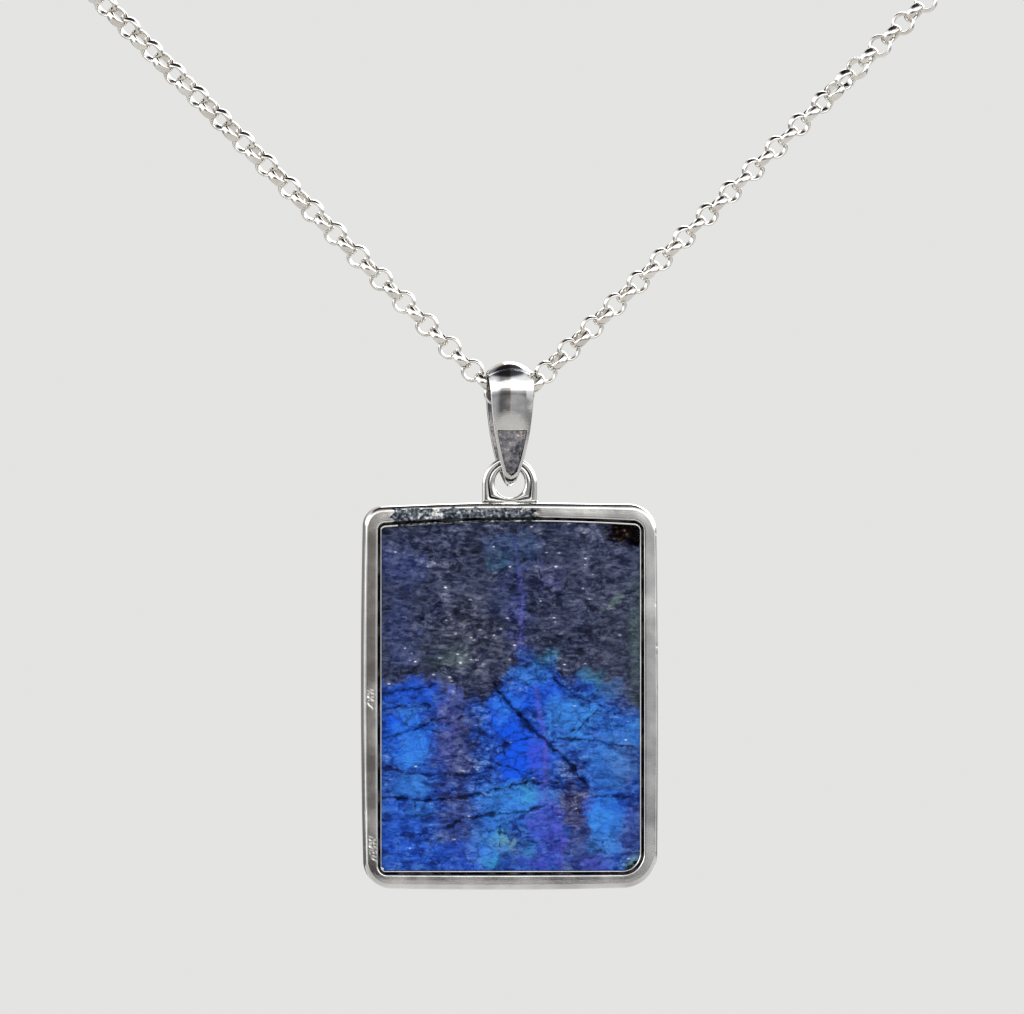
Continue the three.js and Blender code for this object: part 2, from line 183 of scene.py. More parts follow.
def mesh_object(name, points, faces, *materials, smooth=True):
    """A mesh from points in millimetres, smooth unless told otherwise. Its faces start with the
    first material."""
    mesh = bpy.data.meshes.new(name)
    mesh.from_pydata((np.asarray(points) * MM).tolist(), [], faces)
    mesh.polygons.foreach_set("use_smooth", [smooth] * len(mesh.polygons))
    for material in materials:
        mesh.materials.append(material)
    mesh.validate()
    thing = bpy.data.objects.new(name, mesh)
    bpy.context.scene.collection.objects.link(thing)
    return thing


def ring_faces(rings, count):
    """Quads that join each ring of points to the next, and the last to the first."""
    faces = []
    for i in range(rings):
        after = (i + 1) % rings
        for j in range(count):
            beside = (j + 1) % count
            faces.append((i * count + j, after * count + j, after * count + beside, i * count + beside))
    return faces


def grid_faces(columns, rows, start, flipped):
    """Quads of a grid of points that are numbered from start, row by row."""
    faces = []
    for r in range(rows):
        for c in range(columns):
            a = start + r * (columns + 1) + c
            quad = (a, a + 1, a + columns + 2, a + columns + 1)
            faces.append((a, *quad[:0:-1]) if flipped else quad)
    return faces


def reaches(points, power=1):
    """How far along a line each of its points lies, with its steps raised to a power."""
    steps = np.linalg.norm(np.diff(points, axis=0), axis=1) ** power
    return np.concatenate(([0], np.cumsum(steps)))


def points_at(points, reach, spots):
    """The places at these distances along a line of points."""
    return np.stack([np.interp(spots, reach, column) for column in np.transpose(points)], axis=1)


def fillet(points, radius, steps):
    """A closed 2-D outline with each corner rounded by a short curve."""
    rounded = []
    count = len(points)
    for i in range(count):
        here = np.array(points[i], float)
        before = np.array(points[i - 1], float) - here
        after = np.array(points[(i + 1) % count], float) - here
        start = here + before * min(0.45, radius / max(np.linalg.norm(before), 1e-9))
        end = here + after * min(0.45, radius / max(np.linalg.norm(after), 1e-9))
        for t in np.linspace(0, 1, steps + 1):
            rounded.append((1 - t) ** 2 * start + 2 * t * (1 - t) * here + t * t * end)
    return rounded


# Camera

def set_camera():
    """The photograph's view: its left edge, right edge and height at the pendant's own distance."""
    centre_x = (IMAGE_SIZE[0] / 2 - ORIGIN_PIXEL[0]) / PIXELS_PER_MM
    centre_z = (ORIGIN_PIXEL[1] - IMAGE_SIZE[1] / 2) / PIXELS_PER_MM
    view_width = IMAGE_SIZE[0] / PIXELS_PER_MM * MM
    left = math.radians(CAMERA_LEFT)
    back = Vector((-math.sin(left), -math.cos(left), 0))
    data = bpy.data.cameras.new("camera")
    data.sensor_width = SENSOR_WIDTH
    data.lens = SENSOR_WIDTH * CAMERA_DISTANCE / view_width
    data.clip_start = 0.01
    camera = bpy.data.objects.new("camera", data)
    camera.location = Vector((centre_x, 0, centre_z)) * MM + back * CAMERA_DISTANCE
    camera.rotation_euler = (-back).to_track_quat("-Z", "Y").to_euler()
    bpy.context.scene.collection.objects.link(camera)
    bpy.context.scene.camera = camera


# Silver

def silver(name, dark, pale, rough_low, rough_high, wave_height, scratch_height):
    """Sterling silver, cast and hand polished: a cool white metal whose soft waves bend the
    reflections, with fine handling scratches that dull it in patches."""
    material, tree, place = new_material(name)
    # Hand filing leaves waves 1 to 2 mm long
    waved = add(tree, "TexNoise", {"Vector": place, "Scale": 650.0, "Detail": 2.0})
    # Scratches are drawn 0.05 mm wide and 0.7 mm long, coarser than real ones so that they show
    turned = add(tree, "Mapping", {"Vector": place, "Rotation": (0.4, 0.9, 0.3), "Scale": (1.0, 1.0, 14.0)})
    scratches = add(tree, "TexNoise", {"Vector": turned, "Scale": 1400.0, "Detail": 3.0})
    patches = add(tree, "TexNoise", {"Vector": place, "Scale": 380.0, "Detail": 4.0})
    dull = add(tree, "MapRange", {
        "Value": patches, "From Min": 0.35, "From Max": 0.7, "To Min": rough_low, "To Max": rough_high,
    })
    tone = add(tree, "ValToRGB", {"Fac": patches}, stops=[(0.3, dark), (0.75, pale)])
    normal = add(tree, "Bump", {"Height": waved, "Strength": 1.0, "Distance": wave_height * MM})
    normal = add(tree, "Bump", {
        "Height": scratches, "Normal": normal, "Strength": 1.0, "Distance": scratch_height * MM,
    })
    shader = add(tree, "BsdfPrincipled", {
        "Base Color": tone, "Metallic": 1.0, "Roughness": dull, "Normal": normal,
    })
    add(tree, "OutputMaterial", {"Surface": shader})
    return material


def raw_silver(name, grain_scale, low, high, tones):
    """Silver as it left the mould: greyer, with a pitted skin that scatters light. The skin's noise
    from low to high runs through the four tones, which paint the pits' dark and pale reflections
    as well as the skin's own grey."""
    material, tree, place = new_material(name)
    # Casting grain is 0.3 to 0.4 mm across, and the skin's tone drifts over 2 mm
    skin = add(tree, "TexNoise", {"Vector": place, "Scale": grain_scale, "Detail": 4.0})
    drift = add(tree, "TexNoise", {"Vector": place, "Scale": 500.0, "Detail": 2.0})
    mixed = add(tree, "Mix", {"Factor": 0.4, 2: skin, 3: drift})
    tone = add(tree, "ValToRGB", {"Fac": mixed}, stops=list(zip(np.linspace(low, high, 4), tones)))
    bump = add(tree, "Bump", {"Height": skin, "Strength": 1.0, "Distance": 0.08 * MM})
    shader = add(tree, "BsdfPrincipled", {
        "Base Color": tone, "Metallic": 1.0, "Roughness": 0.38, "Normal": bump,
    })
    add(tree, "OutputMaterial", {"Surface": shader})
    return material


def dark_silver():
    """Silver in narrow grooves and on the bail panel's wall, painted nearly black as their shade."""
    material, tree, place = new_material("silver_painted_recess_shade")
    # The painted black breaks in places about 1 mm apart
    shade_breaks = add(tree, "TexNoise", {"Vector": place, "Scale": 900.0, "Detail": 3.0})
    tone = add(tree, "ValToRGB", {"Fac": shade_breaks}, stops=[(0.45, "#16171b"), (0.7, "#6a6a68")])
    rough = add(tree, "MapRange", {"Value": shade_breaks, "To Min": 0.6, "To Max": 0.35})
    shader = add(tree, "BsdfPrincipled", {"Base Color": tone, "Metallic": 1.0, "Roughness": rough})
    add(tree, "OutputMaterial", {"Surface": shader})
    return material


# Chain

def arm_point(side, x):
    return np.array((x, 0.0, BEND_Z + ARM_SLOPE[side] * abs(x)))


def arm_route(side, steps=18):
    """From where the bend in the bail's eye ends, straight up to the arm's end ring."""
    start_x = math.copysign(BEND_R * math.sqrt(0.5), ARM_END_X[side])
    return [arm_point(side, x) for x in np.linspace(start_x, ARM_END_X[side], steps)]


def eye_bend():
    """The bend of the chain inside the bail's eye, from left to right."""
    centre = np.array((0.0, 0.0, BEND_Z + BEND_R * math.sqrt(2)))
    turns = np.radians((-40, -13, 13, 40))
    return [centre + BEND_R * np.array((math.sin(t), 0, -math.cos(t))) for t in turns]


def link_shape(ring_steps=32):
    """One belcher link about the Y axis: a round ring of wire that is flat inside and domed outside."""
    wire = LINK_WIRE + [(r, -y) for r, y in reversed(LINK_WIRE[1:-1])]
    points = []
    for turn in np.linspace(0, 2 * math.pi, ring_steps, endpoint=False):
        points += [(r * math.cos(turn), y, r * math.sin(turn)) for r, y in wire]
    return np.array(points), ring_faces(ring_steps, len(wire))


def along_route(route, spacing, start):
    """Points and directions every spacing along a route, from a start distance."""
    reach = reaches(route)
    spots = np.arange(start, reach[-1], spacing)
    heading = points_at(route, reach, spots + 0.05) - points_at(route, reach, spots - 0.05)
    heading /= np.linalg.norm(heading, axis=1)[:, None]
    return points_at(route, reach, spots), heading, spots


def chain_links(name, side, route, first, arm_start, facing, material):
    """A run of links along a route, each a quarter turn from the one before. The run also rolls
    slowly about its own line, as LINK_ROLL says from arm_start on."""
    shape, link_faces = link_shape()
    places, headings, spots = along_route(route, LINK_PITCH, first)
    distances, *rolls = zip(*LINK_ROLL[side])
    rng = random.Random(SEED + len(name))
    points = []
    faces = []
    for i, (place, heading, spot) in enumerate(zip(places, headings, spots)):
        between = (i + facing) % 2
        roll = np.interp(spot - arm_start, distances, rolls[between]) + 90 * between + rng.uniform(-3, 3)
        spin = Matrix.Rotation(math.radians(roll), 3, "X")
        aim = Vector(heading).to_track_quat("X", "Z").to_matrix()
        offset = len(points) * len(shape)
        points.append(shape @ np.array(aim @ spin).T + place)
        faces += [tuple(offset + k for k in face) for face in link_faces]
    return mesh_object(name, np.concatenate(points), faces, material)


def end_ring(name, side, material):
    """The closed round ring at an arm's end, in line with the arm."""
    end = arm_point(side, ARM_END_X[side])
    along = end - arm_point(side, ARM_END_X[side] * 0.9)
    along = along / np.linalg.norm(along)
    centre = end + along * (END_RING_R + END_RING_WIRE_R + END_RING_GAP)
    ring_steps, wire_steps = 64, 20
    points = []
    for turn in np.linspace(0, 2 * math.pi, ring_steps, endpoint=False):
        for wire in np.linspace(0, 2 * math.pi, wire_steps, endpoint=False):
            reach = END_RING_R + END_RING_WIRE_R * math.cos(wire)
            points.append((reach * math.cos(turn), END_RING_WIRE_R * math.sin(wire), reach * math.sin(turn)))
    ring = mesh_object(name, np.array(points) + centre, ring_faces(ring_steps, wire_steps), material)
    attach(ring, "chain")
    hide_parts(name[:-len("_piece")])
    return ring


def build_chain(material):
    """Both arms, each with its end ring. The left arm's run has the links in the bail's eye too."""
    bend = eye_bend()[::-1]
    bend_length = reaches(bend)[-1]
    # Side, route, the first link's place, where the arm starts, 1 if the first link is edge-on,
    # and the solids that the run replaces
    runs = [
        ("left", bend + arm_route("left"), 0.85, bend_length, 1, ("chain_left", "chain_middle")),
        ("right", arm_route("right"), 0.5, 0.0, 0, ("chain_right",)),
    ]
    for side, route, first, arm_start, facing, nodes in runs:
        name = f"chain_{side}"
        ring = end_ring(f"end_ring_{side}_piece", side, material)
        links = chain_links(f"{name}_links", side, route, first, arm_start, facing, material)
        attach(links, "chain")
        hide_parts(*nodes)


# Bezel frame and hanging loop

def side_points(start, end, bow, steps):
    along = end - start
    outward = np.array((-along[1], along[0])) / np.linalg.norm(along)
    shares = np.linspace(0, 1, steps + 1)[1:-1]
    return [start + along * t + outward * bow * 4 * t * (1 - t) for t in shares]


def rounded_outline(corners, top_edge=(), corner_steps=12, side_steps=60):
    """An outline of rounded corners and gently bowed sides, clockwise from the top left."""
    arcs = []
    for k, (x, z, radius, _) in enumerate(corners):
        centre = np.array((x - math.copysign(radius, x), z + (-radius if k < 2 else radius)))
        turns = np.radians(np.linspace(180 - 90 * k, 90 - 90 * k, corner_steps + 1))
        arcs.append([centre + radius * np.array((math.cos(t), math.sin(t))) for t in turns])
    outline = []
    for k, arc in enumerate(arcs):
        start, end = arc[-1], arcs[(k + 1) % 4][0]
        side = side_points(start, end, corners[k][3], side_steps)
        if k == 0 and top_edge:
            xs, zs = zip(start, *top_edge, end)
            side = [np.array((point[0], np.interp(point[0], xs, zs))) for point in side]
        outline += arc + side
    return np.array(outline)


def band(inner, outer, section):
    """A ring of metal between two outlines. The section gives the share of the way out, and y."""
    points = []
    for near, far in zip(inner, outer):
        for share, y in section:
            spot = near * (1 - share) + far * share
            points.append((spot[0], y, spot[1]))
    return np.array(points), ring_faces(len(inner), len(section))


def frame_section():
    """The frame's section with rounded edges: lip, groove, flat rim, soft outer edge, front rim."""
    bead = [(0.0, -POCKET_HALF_DEPTH), (0.0, -1.86), (0.025, -1.96), (0.07, -2.0)]
    bead += [(0.115, -1.95), (0.14, -1.84)]
    rim = [(0.16, -1.8), (0.195, -1.8), (0.215, -1.98), (0.24, -2.25), (0.29, -2.3), (0.5, -2.295)]
    edge = [(0.78, -2.282), (0.9, -2.19), (0.965, -2.0), (1.0, -1.7)]
    front = [(1.0, 1.75), (0.93, 2.12), (0.7, 2.3), (0.06, 2.3), (0.0, 2.14), (0.0, POCKET_HALF_DEPTH)]
    pocket = [(POCKET_SHARE, POCKET_HALF_DEPTH), (POCKET_SHARE, -POCKET_HALF_DEPTH)]
    key = bead + rim + edge + front + pocket
    soft = fillet([(share * FRAME_BAND, y) for share, y in key], radius=0.035, steps=2)
    section = []
    for here, after in zip(soft, soft[1:] + soft[:1]):
        pieces = max(1, round(np.linalg.norm(after - here) / FRAME_CELL)) if here[1] < -1.7 else 1
        section += [here + (after - here) * k / pieces for k in range(pieces)]
    return [(distance / FRAME_BAND, y) for distance, y in section]


# Groups of short file scratches on the back of the frame's left side: x and z of both ends
SCRATCHES = [
    ((-12.35, -26.2), (-11.85, -26.5)), ((-12.3, -26.75), (-11.8, -26.4)),
    ((-12.3, -26.75), (-11.8, -27.1)), ((-12.3, -27.35), (-11.85, -27.0)),
    ((-12.25, -27.4), (-11.9, -27.7)), ((-12.2, -39.0), (-11.7, -39.3)),
    ((-12.15, -39.6), (-11.7, -39.35)), ((-12.15, -39.6), (-11.6, -40.0)),
    ((-12.1, -40.2), (-11.6, -40.1)), ((-12.0, -40.6), (-11.5, -40.9)),
]
SCRATCH_DEPTH = 0.03
SCRATCH_HALF_WIDTH = 0.06
SCRATCHES_END_X = -11.3
# The rough-cast stretch of the frame's top edge, left of the loop: its x and z limits
CAST_PATCH = (-10.4, 2.6, -12.5, -10.6)
# The groove between the bead and the rim, painted dark as shade: its shares of the band's width, and how
# high it reaches
GROOVE = (0.13, 0.235)
GROOVE_TOP_Y = -2.16
# The frame's back, by y, and the outer edges that carry nicks, by their distance from the middle
# plane, their distance from the middle line, and z
BACK_Y = -1.9
NICK_Y = (1.2, 2.25)
NICK_X = 12.0
NICK_Z = -42.9
NICK_START = 0.6
NICK_DEPTH = 0.3


def inside_cast_patch(x, z):
    """How far inside the rough-cast stretch a point lies. Its height counts three times."""
    left, right, foot, top = CAST_PATCH
    return min(x - left, right - x, (z - foot) * 3, (top - z) * 3)


def wear_back(points):
    """Sinks the frame's back: it wanders by hundredths of a millimetre, is rough in its cast
    stretch, and carries scratches on its left side."""
    for point in points:
        x, y, z = point
        if y > BACK_Y:
            continue
        place = Vector((x, 0, z))
        sink = 0.012 * (1 + noise.noise(place * 0.2)) + 0.0015 * (1 + noise.noise(place * 1.1))
        inside = inside_cast_patch(x, z)
        if inside > 0:
            sink += min(1, inside) * (0.02 + 0.022 * noise.fractal(place * 2.6, 0.8, 2.0, 3))
        for start, end in SCRATCHES:
            if abs(z - start[1]) < 1 and x < SCRATCHES_END_X:
                away = line_distance(np.array([x]), np.array([z]), [start, end])[0] / SCRATCH_HALF_WIDTH
                sink += SCRATCH_DEPTH * math.exp(-away * away)
        point[1] += sink


def nick_edges(points):
    """Small nicks in the outer edges of the frame's sides and foot."""
    for point in points:
        if not NICK_Y[0] <= abs(point[1]) <= NICK_Y[1]:
            continue
        nick = noise.noise(Vector(point) * 2.2 + Vector((0, 0, 31))) - NICK_START
        if nick > 0:
            point[0] -= math.copysign(nick * NICK_DEPTH, point[0]) if abs(point[0]) > NICK_X else 0
            point[2] += nick * NICK_DEPTH if point[2] < NICK_Z else 0


def build_bezel(material, raw_material, shade_material):
    """The cast frame, finished by hand. A stretch of its top was left as cast."""
    outer = rounded_outline(FRAME_OUTER, TOP_EDGE, corner_steps=16, side_steps=200)
    inner = rounded_outline(FRAME_INNER, corner_steps=16, side_steps=200)
    section = frame_section()
    groove = [GROOVE[0] < share < GROOVE[1] and GROOVE_TOP_Y < y < 0 for share, y in section]
    points, faces = band(inner, outer, section)
    wear_back(points)
    nick_edges(points)
    frame_piece = mesh_object("bezel_frame_piece", points, faces, material, raw_material, shade_material)
    for polygon in frame_piece.data.polygons:
        x, y, z = polygon.center / MM
        inside = inside_cast_patch(x, z) + noise.noise(Vector((x, 0, z * 2)) * 1.5)
        # Faces in the groove get the painted shade
        in_groove = groove[polygon.index % len(section)]
        polygon.material_index = DARK if in_groove else RAW if y < BACK_Y and inside > 0.3 else POLISHED
    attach(frame_piece, "pendant")
    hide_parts("bezel_frame")


def arch_outline(angles):
    """Where lines from the hole's centre, at these angles, leave the loop's arch."""
    outline = []
    for angle in angles:
        heading = np.array((math.cos(angle), math.sin(angle)))
        low, high = 0.0, 2 * LOOP_OUTER_R
        for _ in range(30):
            reach = (low + high) / 2
            x, z = heading * reach + (0, LOOP_HOLE_Z)
            in_arch = math.hypot(x, z - LOOP_ARCH_Z) < LOOP_OUTER_R
            in_foot = abs(x) < LOOP_OUTER_R and LOOP_FOOT_Z < z < LOOP_ARCH_Z
            low, high = (reach, high) if in_arch and z >= LOOP_ARCH_Z or in_foot else (low, reach)
        outline.append(heading * low + (0, LOOP_HOLE_Z))
    return np.array(outline)


def build_loop(material, shade_material):
    """The loop: a rounded band with a shallow groove round each face, painted dark as shade, soldered to the
    frame.
    """
    angles = np.linspace(0, 2 * math.pi, 144, endpoint=False)
    hole = np.array([(LOOP_HOLE_R * math.cos(a), LOOP_HOLE_Z + LOOP_HOLE_R * math.sin(a)) for a in angles])
    face = [(0.0, 0.3), (0.14, 0.44), (0.36, 0.46), (0.5, 0.36), (0.64, 0.46), (0.86, 0.44), (1.0, 0.3)]
    section = [(share, -y) for share, y in face] + [(share, y) for share, y in reversed(face)]
    soft = fillet(section, radius=0.1, steps=3)
    points, faces = band(hole, arch_outline(angles), soft)
    loop = mesh_object("hanging_loop_piece", points, faces, material, shade_material)
    low, high = LOOP_GROOVE
    in_groove = [int(low < min(here[0], after[0]) and max(here[0], after[0]) < high)
                 for here, after in zip(soft, soft[1:] + soft[:1])]
    loop.data.polygons.foreach_set("material_index", in_groove * len(angles))
    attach(loop, "pendant")
    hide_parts("hanging_loop")


def build_solder(material):
    """The bead of solder round the loop's foot: a small concave fillet of uneven width."""
    half_x, half_y, corner = LOOP_OUTER_R, 0.4, 0.12
    corner_turns = np.radians((0, 30, 60, 90))
    outline = []
    for quarter in range(4):
        turns = corner_turns + quarter * math.pi / 2
        middle = (
            (half_x - corner) * (1 if quarter in (0, 3) else -1),
            (half_y - corner) * (1 if quarter in (0, 1) else -1),
        )
        outline += [(middle, (math.cos(t), math.sin(t))) for t in turns]
    stations = []
    for (here, out_here), (after, out_after) in zip(outline, outline[1:] + outline[:1]):
        pieces = 1 + int(math.dist(here, after) / 0.3)
        for share in np.linspace(0, 1, pieces, endpoint=False):
            out = np.array(out_here) * (1 - share) + np.array(out_after) * share
            stations.append((np.array(here) * (1 - share) + np.array(after) * share, out))
    section = [
        (-0.1, 0.24), (0.01, 0.21), (0.03, 0.12), (0.1, 0.05), (0.24, 0.0), (0.24, -0.05), (-0.1, -0.05),
    ]
    points = []
    for middle, out in stations:
        bead = 1 + 0.5 * noise.noise(Vector((middle[0] * 1.3 + out[0], middle[1], 5)))
        for reach, rise in section:
            spot = middle + out * (corner + reach * bead)
            points.append((spot[0], spot[1], LOOP_FOOT_Z + rise * bead))
    solder = mesh_object("solder_fillet", points, ring_faces(len(stations), len(section)), material)
    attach(solder, "pendant")


# Bail

def smooth_curve(points, count):
    """A centripetal curve through points, resampled evenly by length."""
    points = np.array(points, float)
    padded = np.vstack((2 * points[0] - points[1], points, 2 * points[-1] - points[-2]))
    fine = []
    for i in range(1, len(padded) - 2):
        p = padded[i - 1:i + 3]
        knots = reaches(p, 0.5)
        for t in np.linspace(knots[1], knots[2], 60, endpoint=False):
            first = [p[k] + (p[k + 1] - p[k]) * (t - knots[k]) / (knots[k + 1] - knots[k]) for k in range(3)]
            second = [
                first[k] + (first[k + 1] - first[k]) * (t - knots[k]) / (knots[k + 2] - knots[k])
                for k in range(2)
            ]
            fine.append(second[0] + (second[1] - second[0]) * (t - knots[1]) / (knots[2] - knots[1]))
    fine = np.array(fine + [points[-1]])
    reach = reaches(fine)
    return points_at(fine, reach, np.linspace(0, reach[-1], count))


def bail_half_width(z):
    heights = [spot[0] for spot in reversed(BAIL_PROFILE)]
    widths = [spot[2] for spot in reversed(BAIL_PROFILE)]
    return np.interp(z, heights, widths)


def bail_grid(half_steps, width_steps):
    """Outer and inner surface points of the domed band, bent into a pear-shaped ring."""
    curve = smooth_curve([(depth, z, width) for z, depth, width in BAIL_PROFILE], half_steps + 1)
    top, foot = BAIL_PROFILE[0][0], BAIL_PROFILE[-1][0]
    rims = np.linspace(-1, 1, width_steps + 1)
    outer, inner = [], []
    run = reaches(curve[:, :2])
    crease_run = np.interp(-CREASE_Z, -curve[:, 1], run)
    for i in range(2 * half_steps):
        side = -1 if i <= half_steps else 1
        k = i if i <= half_steps else 2 * half_steps - i
        depth, z, width = curve[k]
        ahead, behind = curve[min(k + 1, half_steps)], curve[max(k - 1, 0)]
        tangent = ahead[:2] - behind[:2]
        if k in (0, half_steps):
            outward = np.array((0.0, 1.0 if k == 0 else -1.0))
        else:
            outward = np.array((-tangent[1], tangent[0])) / np.linalg.norm(tangent)
        sag = BAIL_DOME + (BAIL_DOME_END - BAIL_DOME) * min(1, max(0, (top - z) / (top - foot)))
        inside = np.array((depth, z)) - outward * BAIL_WALL
        inside = np.array((max(0.0, inside[0]), max(BAIL_CAVITY_FOOT_Z, inside[1])))
        inside_width = bail_half_width(inside[1])
        drop = sag * rims ** 2
        past = (run[k] - crease_run) / CREASE_HALF_WIDTH
        crease = CREASE_DEPTH * math.exp(-past * past) if side < 0 else 0
        outer.append([(v * width, side * (depth - outward[0] * (d + crease)), z - outward[1] * (d + crease))
                      for v, d in zip(rims, drop)])
        inner.append([(v * inside_width, side * (inside[0] - outward[0] * d), inside[1] - outward[1] * d)
                      for v, d in zip(rims, drop)])
    return np.array(outer), np.array(inner)


def panel_sink(point, half):
    """How deep the back leaf's panel lies at a point. Its floor is as uneven as it was cast."""
    x, y, z = point
    past_foot = max(0, PANEL_FOOT_Z + PANEL_FOOT_HIGH - z) / PANEL_FOOT_HIGH
    edge = half * math.sqrt(max(0, 1 - past_foot ** 2))
    if y > 0 or z > PANEL_TOP_Z or z < PANEL_FOOT_Z or abs(x) > edge - PANEL_WALL / 2:
        return 0
    return PANEL_DEPTH * (1 + 0.3 * noise.fractal(Vector(point) * 2.4, 0.9, 2.0, 3))


def build_bail(material, raw_material, shade_material):
    """The cast bail, polished outside and left as cast inside. Its back leaf has a tapered panel
    sunk a rim's width inside its outline, with its wall painted dark as shade, and a crease marks
    where the leaf meets the rounded top."""
    half_steps, width_steps = 180, 40
    rim_columns = 5
    outer, inner = bail_grid(half_steps, width_steps)
    rings, columns = outer.shape[:2]
    sunk = np.zeros((rings, columns), bool)
    for i in range(1, half_steps):
        below = COLUMNS_TURN_Z - outer[i, columns // 2, 2]
        if below < 0:
            continue
        # The columns follow the panel's edge, so that the rim keeps its width
        share = min(1, below / COLUMNS_TURN_LENGTH)
        edges = []
        for surface in (outer, inner):
            row = surface[i]
            half = abs(row[0, 0])
            edge = max(half - PANEL_RIM, 0.15 * half)
            even = np.linspace(-1, 1, columns) * half
            shaped = np.concatenate((
                np.linspace(-half, -edge, rim_columns + 1),
                np.linspace(PANEL_WALL - edge, edge - PANEL_WALL, columns - 2 * rim_columns - 2),
                np.linspace(edge, half, rim_columns + 1),
            ))
            xs = even + (shaped - even) * share
            ys = np.interp(xs, row[:, 0], row[:, 1])
            zs = np.interp(xs, row[:, 0], row[:, 2])
            surface[i] = np.stack((xs, ys, zs), axis=1)
            edges.append(edge)
        for j in range(columns):
            sink = panel_sink(outer[i, j], edges[0])
            sunk[i, j] = sink > 0
            inward = inner[i, j] - outer[i, j]
            outer[i, j] += inward / max(np.linalg.norm(inward), 1e-6) * sink
    points = np.concatenate((outer.reshape(-1, 3), inner.reshape(-1, 3)))
    layer = rings * columns
    faces = []
    skins = []
    for i in range(rings):
        after = (i + 1) % rings
        for j in range(columns - 1):
            a, b = i * columns + j, i * columns + j + 1
            c, d = after * columns + j + 1, after * columns + j
            faces += [(a, d, c, b), (layer + a, layer + b, layer + c, layer + d)]
            corners = sunk[[i, i, after, after], [j, j + 1, j + 1, j]].sum()
            # The panel's floor is as-cast silver; its wall, where the faces are partly sunk, gets the
            # painted shade
            skins += [RAW if corners == 4 else DARK if corners else POLISHED, RAW]
    # The two rounded rims, each a strip of points from the outer edge to the inner one
    for side, j in ((-1, 0), (1, columns - 1)):
        strip = [outer[:, j]]
        strip += [outer[:, j] * (1 - share) + inner[:, j] * share + (side * bulge, 0, 0)
                  for share, bulge in BAIL_RIM]
        strip.append(inner[:, j])
        start = len(points)
        points = np.concatenate((points, np.concatenate(strip)))
        for k in range(len(strip) - 1):
            for i in range(rings):
                a, b = start + k * rings + i, start + k * rings + (i + 1) % rings
                faces.append((a, a + rings, b + rings, b) if side < 0 else (a, b, b + rings, a + rings))
                skins.append(POLISHED)
    turn = np.array(Matrix.Rotation(math.radians(BAIL_TWIST), 3, "Z"))
    bail = mesh_object("bail_piece", points @ turn.T, faces, material, raw_material, shade_material)
    bail.data.polygons.foreach_set("material_index", skins)
    weld = bail.modifiers.new("joined_rims", "WELD")
    weld.merge_threshold = 0.0005 * MM
    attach(bail, "bail")
    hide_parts("bail")


# Labradorite

# Cracks in the back face: half width, depth, and points of x and z
CRACKS = [
    (0.16, 0.45, [
        (-1.5, -25.8), (-0.1, -27.6), (1.6, -29.3), (2.9, -30.6), (4.3, -31.7), (5.6, -33.3), (6.7, -34.8),
    ]),
    (0.09, 0.28, [(-11.4, -26.6), (-8.3, -26.3), (-6.5, -25.9)]),
    (0.07, 0.2, [(-11.4, -27.9), (-8.9, -27.7), (-7.0, -27.5)]),
    (0.09, 0.26, [(-11.4, -30.6), (-9.4, -30.1), (-8.3, -29.7), (-6.7, -28.9), (-5.6, -28.6)]),
    (0.06, 0.18, [(-8.3, -29.7), (-6.6, -29.8), (-5.0, -30.1)]),
    (0.1, 0.3, [(-11.4, -33.0), (-8.9, -33.5), (-6.7, -33.6), (-3.4, -33.5)]),
    (0.12, 0.34, [(-11.4, -35.6), (-6.7, -35.8), (-4.5, -35.6), (-2.3, -35.2), (-0.1, -34.7), (2.1, -34.2)]),
    (0.1, 0.3, [(-5.4, -38.1), (-4.1, -37.4), (-0.1, -36.9), (1.6, -36.7), (3.0, -36.2)]),
    (0.06, 0.16, [(-10.0, -38.8), (-7.4, -38.8)]),
    (0.06, 0.16, [(-8.2, -35.6), (-8.2, -37.5)]),
    (0.06, 0.16, [(-1.0, -37.0), (-0.9, -39.9)]),
    (0.07, 0.2, [(-1.5, -31.2), (0.3, -30.8), (2.5, -30.3)]),
    (0.07, 0.18, [(-1.7, -32.5), (-0.1, -33.0), (1.8, -33.6)]),
    (0.07, 0.18, [(1.8, -34.4), (3.4, -34.2), (5.4, -34.5)]),
    (0.09, 0.26, [(3.7, -30.5), (6.5, -30.6), (8.6, -31.0), (10.9, -31.3)]),
    (0.06, 0.16, [(5.5, -30.2), (6.4, -29.0), (7.6, -28.0)]),
    (0.08, 0.24, [(3.6, -25.4), (5.4, -26.7), (7.6, -27.6), (8.9, -28.3)]),
    (0.08, 0.24, [(6.4, -35.0), (7.2, -35.4), (8.6, -35.6), (11.4, -35.5)]),
    (0.08, 0.22, [(-1.6, -16.7), (-1.0, -16.3), (0.3, -15.5)]),
    (0.06, 0.16, [(-7.8, -20.3), (-5.6, -18.3)]),
    (0.06, 0.16, [(2.1, -15.0), (2.7, -16.6)]),
    (0.06, 0.18, [(1.4, -39.3), (2.9, -39.4), (4.3, -39.2)]),
    (0.05, 0.14, [(-1.9, -28.2), (-4.0, -28.6), (-6.2, -29.6)]),
]

# Healed veins, which show as thin lines of painted violet flash
VEINS = [
    (0.1, [(0.4, -13.2), (0.7, -16.1), (1.0, -18.3), (0.8, -22.7)]),
    (0.16, [(2.2, -26.0), (2.5, -29.0), (3.0, -31.3), (3.0, -35.5), (4.3, -36.8), (4.5, -41.9)]),
]

# The upper limit of the painted flash, from the left side to the right, as x and z
PAINTED_FLASH_EDGE = [
    (-11.5, -25.4), (-8.0, -25.2), (-5.5, -26.4), (-2.0, -26.6), (-0.6, -25.0), (1.0, -22.9),
    (3.4, -23.0), (4.6, -25.2), (6.5, -24.6), (8.2, -26.6), (11.5, -27.9),
]
